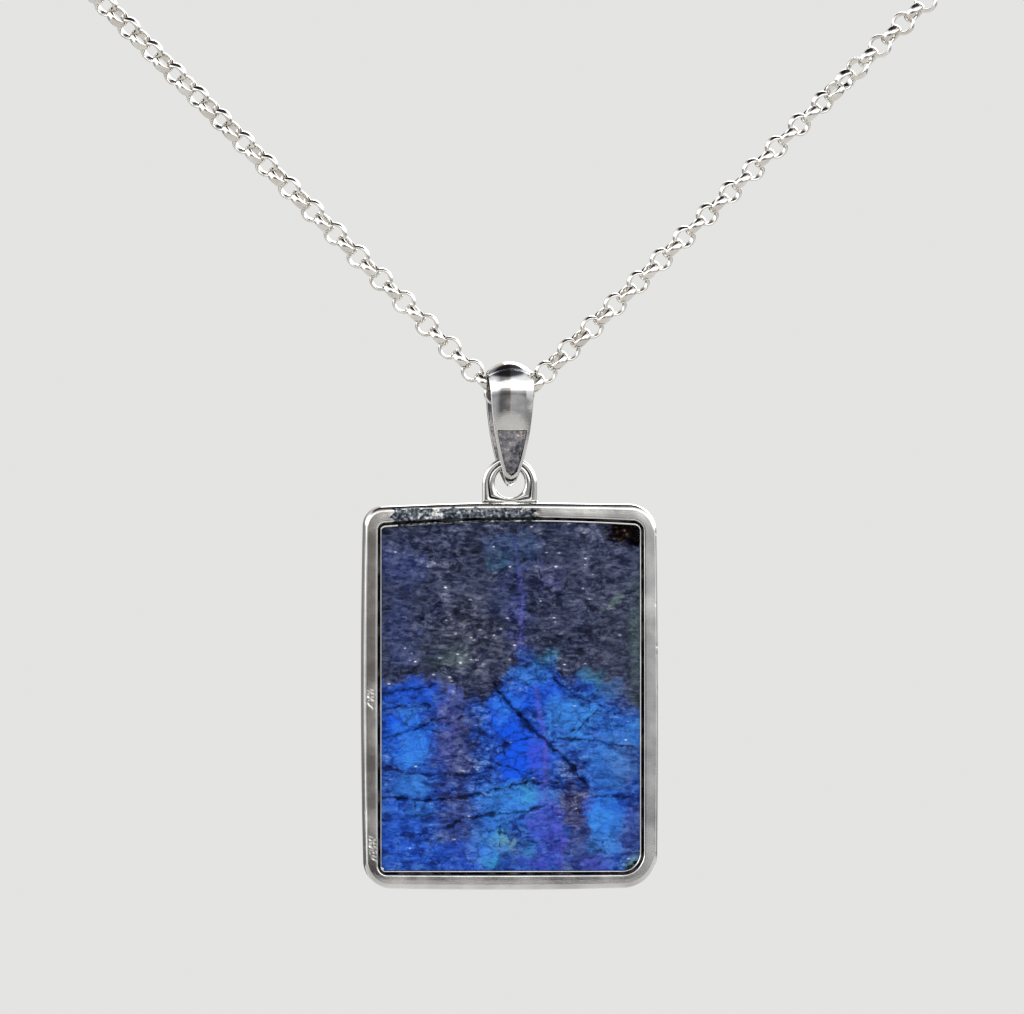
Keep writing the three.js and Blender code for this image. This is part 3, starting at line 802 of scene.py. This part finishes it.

# Patches of each tint of painted flash, of the greyer dun stone and of the painted glints: x, z, half width,
# half height, tilt in degrees, strength
PATCHES = {
    "blue": [
        (-9.0, -30.4, 3.0, 3.0, 0, 0.8), (-8.6, -26.6, 3.4, 1.6, 4, 0.5), (0.2, -29.6, 3.0, 3.9, 8, 1.0),
        (1.0, -32.4, 3.0, 2.6, 0, 0.95), (2.6, -26.6, 3.1, 1.8, -25, 0.7), (-9.3, -38.8, 3.0, 3.8, 0, 0.25),
        (8.3, -36.8, 2.8, 2.2, 0, 0.45), (-9.4, -15.6, 3.0, 3.0, 0, 0.07), (-9.6, -21.5, 2.4, 5.5, 0, 0.06),
        (0.2, -18.6, 2.6, 4.0, 0, 0.06), (-4.9, -40.6, 4.4, 1.5, 0, 0.35),
    ],
    "azure": [
        (-8.6, -31.0, 2.3, 2.6, 0, 0.65), (-8.4, -34.6, 2.1, 1.5, 0, 0.6), (-8.6, -28.2, 1.6, 1.3, 0, 0.5),
        (-0.3, -28.0, 1.5, 1.8, 0, 0.4), (5.4, -28.6, 3.4, 2.6, -12, 0.85), (9.6, -29.8, 2.6, 2.2, 0, 0.5),
        (8.7, -32.9, 3.3, 3.2, 0, 0.35), (-8.0, -36.4, 1.6, 1.1, 0, 0.45), (0.0, -35.6, 4.4, 1.8, 6, 0.65),
        (-1.4, -38.6, 2.5, 2.9, 0, 0.55), (8.1, -38.2, 2.0, 3.4, -8, 0.75), (1.9, -24.9, 2.6, 1.5, 20, 0.5),
        (8.4, -26.2, 2.1, 1.2, -20, 0.35), (0.2, -14.4, 3.4, 1.9, 0, 0.14),
    ],
    "cyan": [
        (1.8, -35.2, 1.6, 1.1, 0, 0.4), (2.9, -23.4, 1.8, 1.0, 15, 0.35), (7.0, -25.2, 1.6, 1.1, -20, 0.3),
        (-1.2, -15.2, 1.7, 1.2, 0, 0.15), (1.8, -40.2, 1.0, 1.1, 0, 0.7), (-0.8, -38.6, 0.9, 1.0, 0, 0.4),
        (-1.4, -41.2, 1.2, 0.8, 0, 0.4),
    ],
    "violet": [
        (3.0, -38.9, 1.9, 4.0, 0, 0.5), (4.0, -39.6, 0.8, 3.6, 0, 0.7), (2.6, -32.9, 1.1, 3.9, 0, 0.35),
        (2.0, -40.9, 2.4, 1.5, 0, 0.4), (7.3, -41.2, 2.2, 1.1, 0, 0.4), (0.8, -19.0, 1.2, 5.4, 0, 0.1),
        (2.6, -16.6, 2.4, 2.2, 0, 0.1), (-5.6, -30.5, 1.6, 6.0, 0, 0.15),
    ],
    "green": [
        (0.1, -39.7, 1.6, 2.2, 20, 0.25), (0.2, -39.2, 0.8, 1.0, 20, 0.3), (8.7, -18.9, 1.9, 0.3, 35, 0.2),
        (10.9, -22.0, 1.2, 8.0, 0, 0.16), (-5.4, -23.6, 2.6, 1.8, 0, 0.12),
        (10.6, -41.2, 1.1, 0.8, 30, 0.7),
    ],
    "dun": [
        (-4.7, -31.4, 2.4, 7.0, 0, 0.85), (-4.5, -38.2, 2.8, 4.0, 0, 0.55), (5.6, -36.1, 1.9, 4.2, 8, 1.0),
        (6.2, -40.2, 3.2, 2.4, 0, 0.6), (10.6, -38.5, 1.8, 4.5, 0, 0.5), (-3.5, -21.5, 4.2, 4.2, 0, 0.5),
        (8.8, -20.5, 2.8, 7.0, 0, 0.25), (9.8, -32.6, 1.8, 3.0, 0, 0.7), (3.6, -16.6, 2.0, 1.9, 0, 0.4),
    ],
    # Where the painted glints gather
    "painted_glint_share": [
        (-6.0, -22.0, 5.5, 5.0, 10, 1.0), (2.0, -22.0, 5.0, 5.5, 0, 0.7), (7.0, -20.0, 4.5, 4.0, 20, 0.6),
        (0.0, -15.0, 10.0, 3.0, 0, 0.4), (5.9, -36.8, 0.9, 1.9, 0, 1.0), (-4.5, -33.0, 2.0, 6.0, 0, 0.4),
        (10.1, -13.2, 2.4, 1.6, 0, 1.0), (10.4, -41.2, 1.4, 1.0, 0, 1.0),
    ],
}

# The stone's unevenness, as waves: height, how fast it turns along x and along z, and its start
WAVES = [
    (0.07, 0.45, 0.31, 1.0),
    (0.06, -0.27, 0.52, 2.4),
    (0.05, 0.21, 1.27, 0.5),
    (0.04, 1.13, -0.74, 4.1),
    (0.035, -0.9, -1.9, 3.0),
    (0.03, 2.2, 0.6, 5.2),
]
# The frame's opening and the slab's own outline: left, right, foot and top
OPENING = (-11.1, 11.1, -41.8, -12.34)
SLAB_EDGE = (-11.5, 11.5, -42.25, -11.62)
SLAB_CORNER_R = 2.0
OPENING_CORNER_R = 1.6
SLAB_RIM = 1.3
BACK_LIFT = 0.12
FRONT_CROWN = 0.75
FRONT_LIMIT = 0.95
# Lost chips and a pit: the oval's centre and half sizes, and its depth
CHIPS = [(10.6, -12.75, 2.6, 1.5, 1.4), (11.2, -42.0, 1.1, 0.9, 0.9)]
PIT = (5.9, -36.2, 0.7, 1.0, 0.45)
BACK_CELLS = (240, 320)
# The front isn't seen: the same bands of painted flash are assumed there, without cracks and chips
FRONT_PLAIN = {"crack": 9.0, "chip": 0.0, "vein": 0.0}


def waves(x, z):
    return sum(height * np.sin(along_x * x + along_z * z + start)
               for height, along_x, along_z, start in WAVES)


def smooth_step(value, low, high):
    t = np.clip((value - low) / (high - low), 0, 1)
    return t * t * (3 - 2 * t)


def rim_share(x, z):
    """0 where the frame's lip covers the stone, rising to 1 inside the opening."""
    left, right, foot, top = OPENING
    across = np.minimum(x - left, right - x)
    upright = np.minimum(top - z, z - foot)
    corner = np.hypot(np.maximum(0, OPENING_CORNER_R - across), np.maximum(0, OPENING_CORNER_R - upright))
    inside = np.minimum(np.minimum(across, upright), OPENING_CORNER_R - corner)
    return smooth_step(inside, 0, SLAB_RIM)


def noise_field(x, z, scale_x, scale_z, shift, octaves=4):
    """Fractal noise over the slab, about 0, with its own grain across and along."""
    flat = zip((x * scale_x).ravel(), (z * scale_z).ravel())
    values = [noise.fractal(Vector((u, shift, w)), 1.0, 2.0, octaves) for u, w in flat]
    return np.array(values).reshape(x.shape)


def line_distance(x, z, line):
    """Distance from each point to a line of points, and to nothing else."""
    nearest = np.full(x.shape, 1e3)
    for (ax, az), (bx, bz) in zip(line, line[1:]):
        along_x, along_z = bx - ax, bz - az
        share = ((x - ax) * along_x + (z - az) * along_z) / (along_x ** 2 + along_z ** 2)
        share = np.clip(share, 0, 1)
        nearest = np.minimum(nearest, np.hypot(x - ax - share * along_x, z - az - share * along_z))
    return nearest


def oval(x, z, centre_x, centre_z, half_width, half_height, tilt=0):
    """How far out of an oval a point lies: 0 at its centre, 1 on its edge."""
    turn = math.radians(tilt)
    u = (x - centre_x) * math.cos(turn) + (z - centre_z) * math.sin(turn)
    w = (z - centre_z) * math.cos(turn) - (x - centre_x) * math.sin(turn)
    return np.hypot(u / half_width, w / half_height)


def cleavage_steps(x, z, size, shift):
    """Plates of stone that broke away at slightly different depths: one level per plate, -1 to 1."""
    levels = []
    for u, w in zip(x.ravel() / size, z.ravel() / size):
        _, cells = noise.voronoi(Vector((u, shift, w)))
        levels.append(noise.noise(cells[0] * 3.7))
    return np.array(levels).reshape(x.shape)


def back_fields(x, z):
    """Relief of the back face, how deep each point is in a crack, and the tint strengths, those of the
    painted flash and the painted glints among them.
    """
    warp_x, warp_z = noise_field(x, z, 0.9, 0.9, 3.1), noise_field(x, z, 0.9, 0.9, 8.4)
    rough_x, rough_z = x + 0.6 * warp_x, z + 0.6 * warp_z
    crack_x = x + 0.2 * warp_x + 0.12 * noise_field(x, z, 2.4, 2.4, 21.0)
    crack_z = z + 0.2 * warp_z + 0.12 * noise_field(x, z, 2.4, 2.4, 24.0)
    mask = rim_share(x, z)
    plates = cleavage_steps(rough_x, rough_z * 1.6, 2.4, 1.0)
    flakes = cleavage_steps(rough_x, rough_z * 2.4, 0.8, 5.0)
    fibres = noise_field(x + 0.3 * z, z, 0.9, 4.6, 1.7) + 0.6 * noise_field(x - 0.2 * z, z, 2.2, 7.5, 6.2)
    height = BACK_LIFT + waves(x, z) + 0.12 * plates + 0.09 * flakes + 0.07 * fibres
    height += 0.06 * noise_field(x, z, 2.6, 3.4, 14.0)
    crack = np.full(x.shape, 9.0)
    vary = 1 + 1.1 * noise_field(x, z, 0.9, 0.9, 17.0)
    for half_width, depth, line in CRACKS:
        away = line_distance(crack_x, crack_z, line) / (half_width * np.clip(vary, 0.55, 1.7))
        height -= depth * np.exp(-away * away) * np.clip(vary, 0.5, 1.3)
        crack = np.minimum(crack, away)
    *pit_oval, pit_depth = PIT
    pit = smooth_step(1 - oval(rough_x, rough_z, *pit_oval), 0, 0.7)
    height -= pit_depth * pit * (0.7 + 0.6 * noise_field(x, z, 3.0, 3.0, 9.9))
    height = np.clip(height, -0.6, 0.5) * mask
    chip = np.zeros(x.shape)
    for *chip_oval, depth in CHIPS:
        share = smooth_step(1 - oval(rough_x, rough_z, *chip_oval), 0, 0.45)
        height -= depth * share * (0.8 + 0.5 * noise_field(x, z, 1.6, 1.6, 4.4))
        chip = np.maximum(chip, share)
    edge_x, edge_z = zip(*PAINTED_FLASH_EDGE)
    below = np.interp(rough_x, edge_x, edge_z) - rough_z
    painted_flash = smooth_step(below + 0.5 * plates, -0.5, 1.3)
    tints = {tint: np.zeros(x.shape) for tint in PATCHES}
    for tint, patches in PATCHES.items():
        for *patch_oval, strength in patches:
            reach = oval(rough_x, rough_z, *patch_oval)
            level = strength * smooth_step(1 - reach + 0.35 * plates + 0.2 * flakes, 0, 0.7)
            tints[tint] = 1 - (1 - tints[tint]) * (1 - np.clip(level, 0, 1))
    vein = np.zeros(x.shape)
    for half_width, line in VEINS:
        away = line_distance(crack_x, crack_z, line) / half_width
        vein = np.maximum(vein, np.exp(-away * away))
    tone = 0.5 + 0.6 * plates + 0.5 * flakes
    return height, {**tints, "painted_flash": painted_flash, "crack": crack, "vein": vein, "chip": chip, "tone": tone}


def round_corners(x, z):
    """Draws the grid's square corners in to the pocket's rounded ones."""
    left, right, foot, top = SLAB_EDGE
    out_x = np.maximum(np.maximum(left + SLAB_CORNER_R - x, x - right + SLAB_CORNER_R), 0)
    out_z = np.maximum(np.maximum(foot + SLAB_CORNER_R - z, z - top + SLAB_CORNER_R), 0)
    reach = np.hypot(out_x, out_z)
    scale = np.where(reach > 0, np.maximum(out_x, out_z) / np.maximum(reach, 1e-9), 1)
    shift_x = (1 - scale) * out_x * np.sign(x)
    shift_z = (1 - scale) * out_z * np.sign(z - (foot + top) / 2)
    return x - shift_x, z - shift_z


def slab_grid(columns, rows):
    left, right, foot, top = SLAB_EDGE
    x, z = np.meshgrid(np.linspace(left, right, columns + 1), np.linspace(foot, top, rows + 1))
    return round_corners(x, z)


def perimeter(columns, rows):
    """Grid positions (row, column) round a face's edge, from the foot's left end."""
    foot = [(0, c) for c in range(columns)]
    right = [(r, columns) for r in range(rows)]
    top = [(rows, c) for c in range(columns, 0, -1)]
    left = [(r, 0) for r in range(rows, 0, -1)]
    return foot + right + top + left


def build_slab(material):
    """The slab: a finely broken back face, a coarser front face, and plain sides in the frame."""
    columns, rows = BACK_CELLS
    x, z = slab_grid(columns, rows)
    height, fields = back_fields(x, z)
    back = np.stack((x, -POCKET_HALF_DEPTH - height, z), axis=2).reshape(-1, 3)
    front_columns, front_rows = columns // 2, rows // 2
    front_x, front_z = slab_grid(front_columns, front_rows)
    mask = rim_share(front_x, front_z)
    rise = FRONT_CROWN + waves(-front_x, front_z) + 0.05 * noise_field(front_x, front_z, 1.5, 2.5, 12.0)
    rise += 0.08 * cleavage_steps(front_x, front_z * 1.4, 2.6, 7.0)
    front_y = POCKET_HALF_DEPTH + np.minimum(rise, FRONT_LIMIT) * mask
    front = np.stack((front_x, front_y, front_z), axis=2).reshape(-1, 3)
    start = len(back)
    faces = grid_faces(columns, rows, 0, False) + grid_faces(front_columns, front_rows, start, True)
    fine = [r * (columns + 1) + c for r, c in perimeter(columns, rows)]
    coarse = [start + r * (front_columns + 1) + c for r, c in perimeter(front_columns, front_rows)]
    for k, (a, b) in enumerate(zip(coarse, coarse[1:] + coarse[:1])):
        p, q, s = (fine[(2 * k + step) % len(fine)] for step in range(3))
        faces += [(a, q, p), (a, b, q), (b, s, q)]
    slab = mesh_object("labradorite_slab_piece", np.concatenate((back, front)), faces, material)
    _, front_fields = back_fields(front_x, front_z)
    for name, values in fields.items():
        front_values = np.full(front_x.shape, FRONT_PLAIN.get(name, 0.0))
        if name not in FRONT_PLAIN:
            front_values = front_fields[name]
        attribute = slab.data.attributes.new(name, "FLOAT", "POINT")
        attribute.data.foreach_set("value", np.concatenate((values.ravel(), front_values.ravel())))
    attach(slab, "pendant")
    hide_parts("labradorite_slab")


def labradorite():
    """Labradorite, sawn and left rough at the back: a dark blue-grey feldspar with a fine, nearly
    level grain and small cleavage flakes, a few of them with a painted glint. Its blue flash, a sheen
    from layers inside the stone, is painted into the colour: it lies under the whole lower half and
    is strongest in patches. Hairline cracks and the grain break it up."""
    material, tree, place = new_material("labradorite_rough")
    names = [*PATCHES, "painted_flash", "crack", "vein", "chip", "tone"]
    field = {name: add(tree, "Attribute", output="Fac", attribute_name=name) for name in names}
    # Grain runs across the slab, tilted: streaks about 1.8 mm long and 0.8 mm high
    lying = add(tree, "Mapping", {"Vector": place, "Rotation": (0.0, -0.5, 0.0), "Scale": (1.0, 1.0, 2.2)})
    grain = add(tree, "TexNoise", {
        "Vector": lying, "Scale": 560.0, "Detail": 6.0, "Roughness": 0.66, "Distortion": 1.6,
    })
    mottle = add(tree, "TexNoise", {"Vector": place, "Scale": 1000.0, "Detail": 6.0, "Roughness": 0.68})
    clouds = add(tree, "TexNoise", {"Vector": place, "Scale": 260.0, "Detail": 4.0, "Roughness": 0.6})
    fibre = add(tree, "Mix", {"Factor": 0.4, 2: grain, 3: mottle})
    # Cleavage flakes about 0.5 mm wide, each with its own tone, and a few that carry a painted glint
    flakes = add(tree, "TexVoronoi", {"Vector": lying, "Scale": 2000.0})
    flake_tone = add(tree, "SeparateColor", {"Color": flakes.node.outputs["Color"]})
    # Some stretches are smooth and some are broken: the clouds set how much the texture shows
    rugged = add(tree, "MapRange", {
        "Value": clouds, "From Min": 0.4, "From Max": 0.6, "To Min": 0.5, "To Max": 1.3,
    })
    even = add(tree, "Math", {0: fibre, 1: 0.49}, operation="SUBTRACT")
    even = add(tree, "Math", {0: even, 1: rugged, 2: 0.44}, operation="MULTIPLY_ADD")
    broken = add(tree, "Math", {0: flake_tone, 1: 0.1, 2: even}, operation="MULTIPLY_ADD")
    # Each plate has its own tone too
    broken = add(tree, "Math", {0: field["tone"], 1: 0.1, 2: broken}, operation="MULTIPLY_ADD")
    # Hairline cracks 2 mm apart, with edges that the clouds bend
    bent = add(tree, "VectorMath", {0: clouds.node.outputs["Color"], 1: (0.003, 0.003, 0.003), 2: place},
               operation="MULTIPLY_ADD")
    cells = add(tree, "TexVoronoi", {"Vector": bent, "Scale": 560.0}, output="Color")
    cell_tone = add(tree, "SeparateColor", {"Color": cells})
    hairline = add(tree, "TexVoronoi", {"Vector": bent, "Scale": 560.0}, feature="DISTANCE_TO_EDGE")
    hairline = add(tree, "MapRange", {"Value": hairline, "From Min": 0.07, "From Max": 0.0})
    wanted = add(tree, "MapRange", {"Value": clouds, "From Min": 0.4, "From Max": 0.55})
    hairline = add(tree, "Math", {0: hairline, 1: wanted}, operation="MULTIPLY")
    # The edges of thin plates: dark lines along the grain, about 1 mm apart
    plates = add(tree, "TexNoise", {"Vector": lying, "Scale": 520.0, "Detail": 4.0, "Distortion": 0.8})
    off_edge = add(tree, "Math", {0: plates, 1: 0.5}, operation="SUBTRACT")
    off_edge = add(tree, "Math", {0: off_edge}, operation="ABSOLUTE")
    plate_edge = add(tree, "MapRange", {"Value": off_edge, "From Min": 0.02, "From Max": 0.0})
    # A crack is darkest in its middle, and the mottle frays its edges
    frayed = add(tree, "Math", {0: mottle, 1: 4.0, 2: field["crack"]}, operation="MULTIPLY_ADD")
    crack = add(tree, "MapRange", {"Value": frayed, "From Min": 3.5, "From Max": 2.2})

    # The stone itself: slate, greyer in patches. Deep blue and grey-violet are painted under the flash as
    # part of its sheen
    grounds = [
        (("#080a12", "#232940", "#3e455e", "#575d75", "#8c91a4"), None, 1.0),
        (("#09090b", "#2a2a32", "#4a4a54", "#666670", "#9c9ca2"), ("dun",), 0.7),
        (("#0a1a4a", "#163a8c", "#2754b2", "#4474c2", "#80a0d8"), ("painted_flash",), 0.95),
        (("#15152c", "#2f3154", "#4a4c70", "#646480", "#9896aa"), ("dun", "painted_flash"), 0.9),
        # Chipped hollows: near black as painted shade, with the brown of the broken stone
        (("#040302", "#0e0805", "#2e1b0f", "#7a5a3c", "#cabc98"), ("chip",), 0.95),
    ]
    base = None
    for colours, masks, strength in grounds:
        tone = add(tree, "ValToRGB", {"Fac": broken}, stops=list(zip((0.4, 0.5, 0.57, 0.65, 0.76), colours)))
        share = strength
        for name in masks or ():
            share = add(tree, "Math", {0: field[name], 1: share}, operation="MULTIPLY")
        base = tone if base is None else add(tree, "Mix", {0: share, 6: base, 7: tone}, data_type="RGBA")
    # The painted flash shows on the flakes that lie level, so the grain, the flakes and the plates break it
    lit = add(tree, "MapRange", {"Value": broken, "From Min": 0.4, "From Max": 0.58, "To Min": 0.55})
    for tone in (field["tone"], cell_tone):
        plate = add(tree, "MapRange", {"Value": tone, "To Min": 0.7, "To Max": 1.3})
        lit = add(tree, "Math", {0: lit, 1: plate}, operation="MULTIPLY")
    # The flash's tints, painted into the base colour: the sheen from the stone's inner layers, fixed as
    # colour
    painted_flashes = [
        ("blue", "#1252da", 1.0),
        ("azure", "#3a86da", 0.9),
        ("cyan", "#3c9cc0", 0.85),
        ("violet", "#4c4cc0", 0.9),
        ("green", "#76a070", 0.8),
        ("vein", "#5a58b8", 0.5),
    ]
    for name, tint, gain in painted_flashes:
        share = add(tree, "Math", {0: field[name], 1: gain}, operation="MULTIPLY")
        share = add(tree, "Math", {0: share, 1: lit}, operation="MULTIPLY", use_clamp=True)
        base = add(tree, "Mix", {0: share, 6: base, 7: tint}, data_type="RGBA")
    lines = [(plate_edge, "#080c1c", 0.5), (hairline, "#0a1238", 0.6), (crack, "#0a1032", 0.75)]
    for mask, tint, strength in lines:
        share = add(tree, "Math", {0: mask, 1: strength}, operation="MULTIPLY")
        base = add(tree, "Mix", {0: share, 6: base, 7: tint}, data_type="RGBA")
    # Painted glints: near white on the brightest few flakes, most of them where the face is roughest
    rarity = add(tree, "MapRange", {"Value": field["painted_glint_share"], "To Min": 0.985, "To Max": 0.86})
    painted_glint = add(tree, "Math", {0: flake_tone, 1: rarity}, operation="GREATER_THAN")
    for value, start, end in ((flakes, 0.36, 0.15), (mottle, 0.46, 0.6)):
        mask = add(tree, "MapRange", {"Value": value, "From Min": start, "From Max": end})
        painted_glint = add(tree, "Math", {0: painted_glint, 1: mask}, operation="MULTIPLY")
    base = add(tree, "Mix", {0: painted_glint, 6: base, 7: "#e4e8f4"}, data_type="RGBA")
    rough = add(tree, "MapRange", {
        "Value": mottle, "From Min": 0.35, "From Max": 0.65, "To Min": 0.3, "To Max": 0.65,
    })
    normal = add(tree, "Bump", {"Height": fibre, "Strength": 1.0, "Distance": 0.2 * MM})
    normal = add(tree, "Bump", {
        "Height": flake_tone, "Normal": normal, "Strength": 0.6, "Distance": 0.05 * MM,
    })
    # A broken face sends back little of the room
    shader = add(tree, "BsdfPrincipled", {
        "Base Color": base, "Roughness": rough, "IOR": 1.56, "Specular IOR Level": 0.05, "Normal": normal,
    })
    add(tree, "OutputMaterial", {"Surface": shader})
    return material


# Floor and light

def floor_material():
    """Matt pale card: a faint mottle, so that it isn't a dead flat tone."""
    material, tree, place = new_material("pale_card")
    mottle = add(tree, "TexNoise", {"Vector": place, "Scale": 60.0})
    tone = add(tree, "ValToRGB", {"Fac": mottle}, stops=[(0.3, "#d9d8d5"), (0.7, "#dfdedb")])
    shader = add(tree, "BsdfPrincipled", {"Base Color": tone, "Roughness": 0.9})
    add(tree, "OutputMaterial", {"Surface": shader})
    return material


def build_floor():
    steps = 96
    rim = [(math.cos(a), math.sin(a)) for a in np.linspace(0, 2 * math.pi, steps, endpoint=False)]
    points = [(x * FLOOR_RADIUS / MM, y * FLOOR_RADIUS / MM, FLOOR_Z / MM) for x, y in rim]
    floor = mesh_object("floor", points, [tuple(range(steps))], floor_material(), smooth=False)


def build_world():
    """Pale to the camera. Polished metal mirrors a studio with a dark ceiling, a bright band a
    little above eye level and a dark floor, all dimmer left of the middle and at the far right."""
    world = bpy.data.worlds.new("studio")
    bpy.context.scene.world = world
    world.use_nodes = True
    tree = world.node_tree
    tree.nodes.clear()
    heading = add(tree, "TexCoord", output="Generated")
    axes = add(tree, "SeparateXYZ", {"Vector": heading}).node.outputs
    height = add(tree, "MapRange", {"Value": axes["Z"], "From Min": -1.0, "From Max": 1.0})
    side = add(tree, "MapRange", {"Value": axes["X"], "From Min": -1.0, "From Max": 1.0})
    walls = add(tree, "ValToRGB", {"Fac": height}, stops=[
        (0.0, "#2c2c30"), (0.3, "#3c3c40"), (0.4, "#6e6e72"), (0.44, "#909092"), (0.455, "#66666a"),
        (0.475, "#5c5c60"), (0.492, "#8c8c8e"), (0.53, "#8c8c8e"), (0.55, "#f4f4f4"), (0.71, "#fafafa"),
        (0.76, "#c4c4c8"), (0.86, "#aeafb4"), (0.9, "#26272c"),
    ])
    sides = add(tree, "ValToRGB", {"Fac": side}, stops=[
        (0.0, "#ffffff"), (0.16, "#ffffff"), (0.26, "#909094"), (0.44, "#a69e97"), (0.512, "#a69e97"),
        (0.536, "#ffffff"), (0.86, "#ffffff"), (1.0, "#b4b4b6"),
    ])
    studio = add(tree, "Mix", {"Factor": 1.0, 6: walls, 7: sides}, data_type="RGBA", blend_type="MULTIPLY")
    seen = add(tree, "Background", {"Color": "#e4e4e2", "Strength": 1.0})
    mirrored = add(tree, "Background", {"Color": studio, "Strength": 2.6})
    camera_ray = add(tree, "LightPath", output="Is Camera Ray")
    both = add(tree, "MixShader", {0: camera_ray, 1: mirrored, 2: seen})
    add(tree, "OutputWorld", {"Surface": both})


def soft_light(name, place, width, height, power):
    """A soft panel of light that faces the pendant."""
    data = bpy.data.lights.new(name, "AREA")
    data.shape = "RECTANGLE"
    data.size = width
    data.size_y = height
    data.energy = power
    light = bpy.data.objects.new(name, data)
    light.location = place
    aim = Vector((0, 0, -0.02)) - Vector(place)
    light.rotation_euler = aim.to_track_quat("-Z", "Y").to_euler()
    bpy.context.scene.collection.objects.link(light)


bpy.context.scene.view_settings.view_transform = "Standard"
set_camera()
pendant_silver = silver("silver_cast_polished", "#b9b9b6", "#dcdcd9", 0.07, 0.2, 0.005, 0.0015)
chain_silver = silver("silver_drawn_wire", "#c9c5be", "#e6e4de", 0.08, 0.2, 0.004, 0.0015)
# Raw silver for the bail's inside and panel and for the frame's cast stretch: its dark and pale tones are
# partly painted reflection
as_cast_reflection_silver = raw_silver(
    "silver_as_cast_and_painted_reflection", 2400.0, 0.36, 0.66, ("#45454b", "#75747a", "#948e8e", "#c2b8b5"))
pitted_reflection_silver = raw_silver(
    "silver_pitted_and_painted_reflection", 3600.0, 0.43, 0.64, ("#1e2126", "#454d56", "#7c8187", "#d8d8d6"))
recess_shade_silver = dark_silver()
build_chain(chain_silver)
build_bezel(pendant_silver, pitted_reflection_silver, recess_shade_silver)
build_loop(pendant_silver, recess_shade_silver)
build_solder(pendant_silver)
build_bail(pendant_silver, as_cast_reflection_silver, recess_shade_silver)
build_slab(labradorite())
build_floor()
build_world()
soft_light("light_top", (0, -0.6, 0.3), 1.4, 0.3, 1.6)
soft_light("light_left", (-0.6, -0.2, 0.1), 0.4, 0.6, 1.0)
soft_light("light_right", (0.6, -0.15, 0.12), 0.4, 0.4, 0.4)
soft_light("light_front", (0.2, 0.5, 0.3), 0.5, 0.4, 2.0)
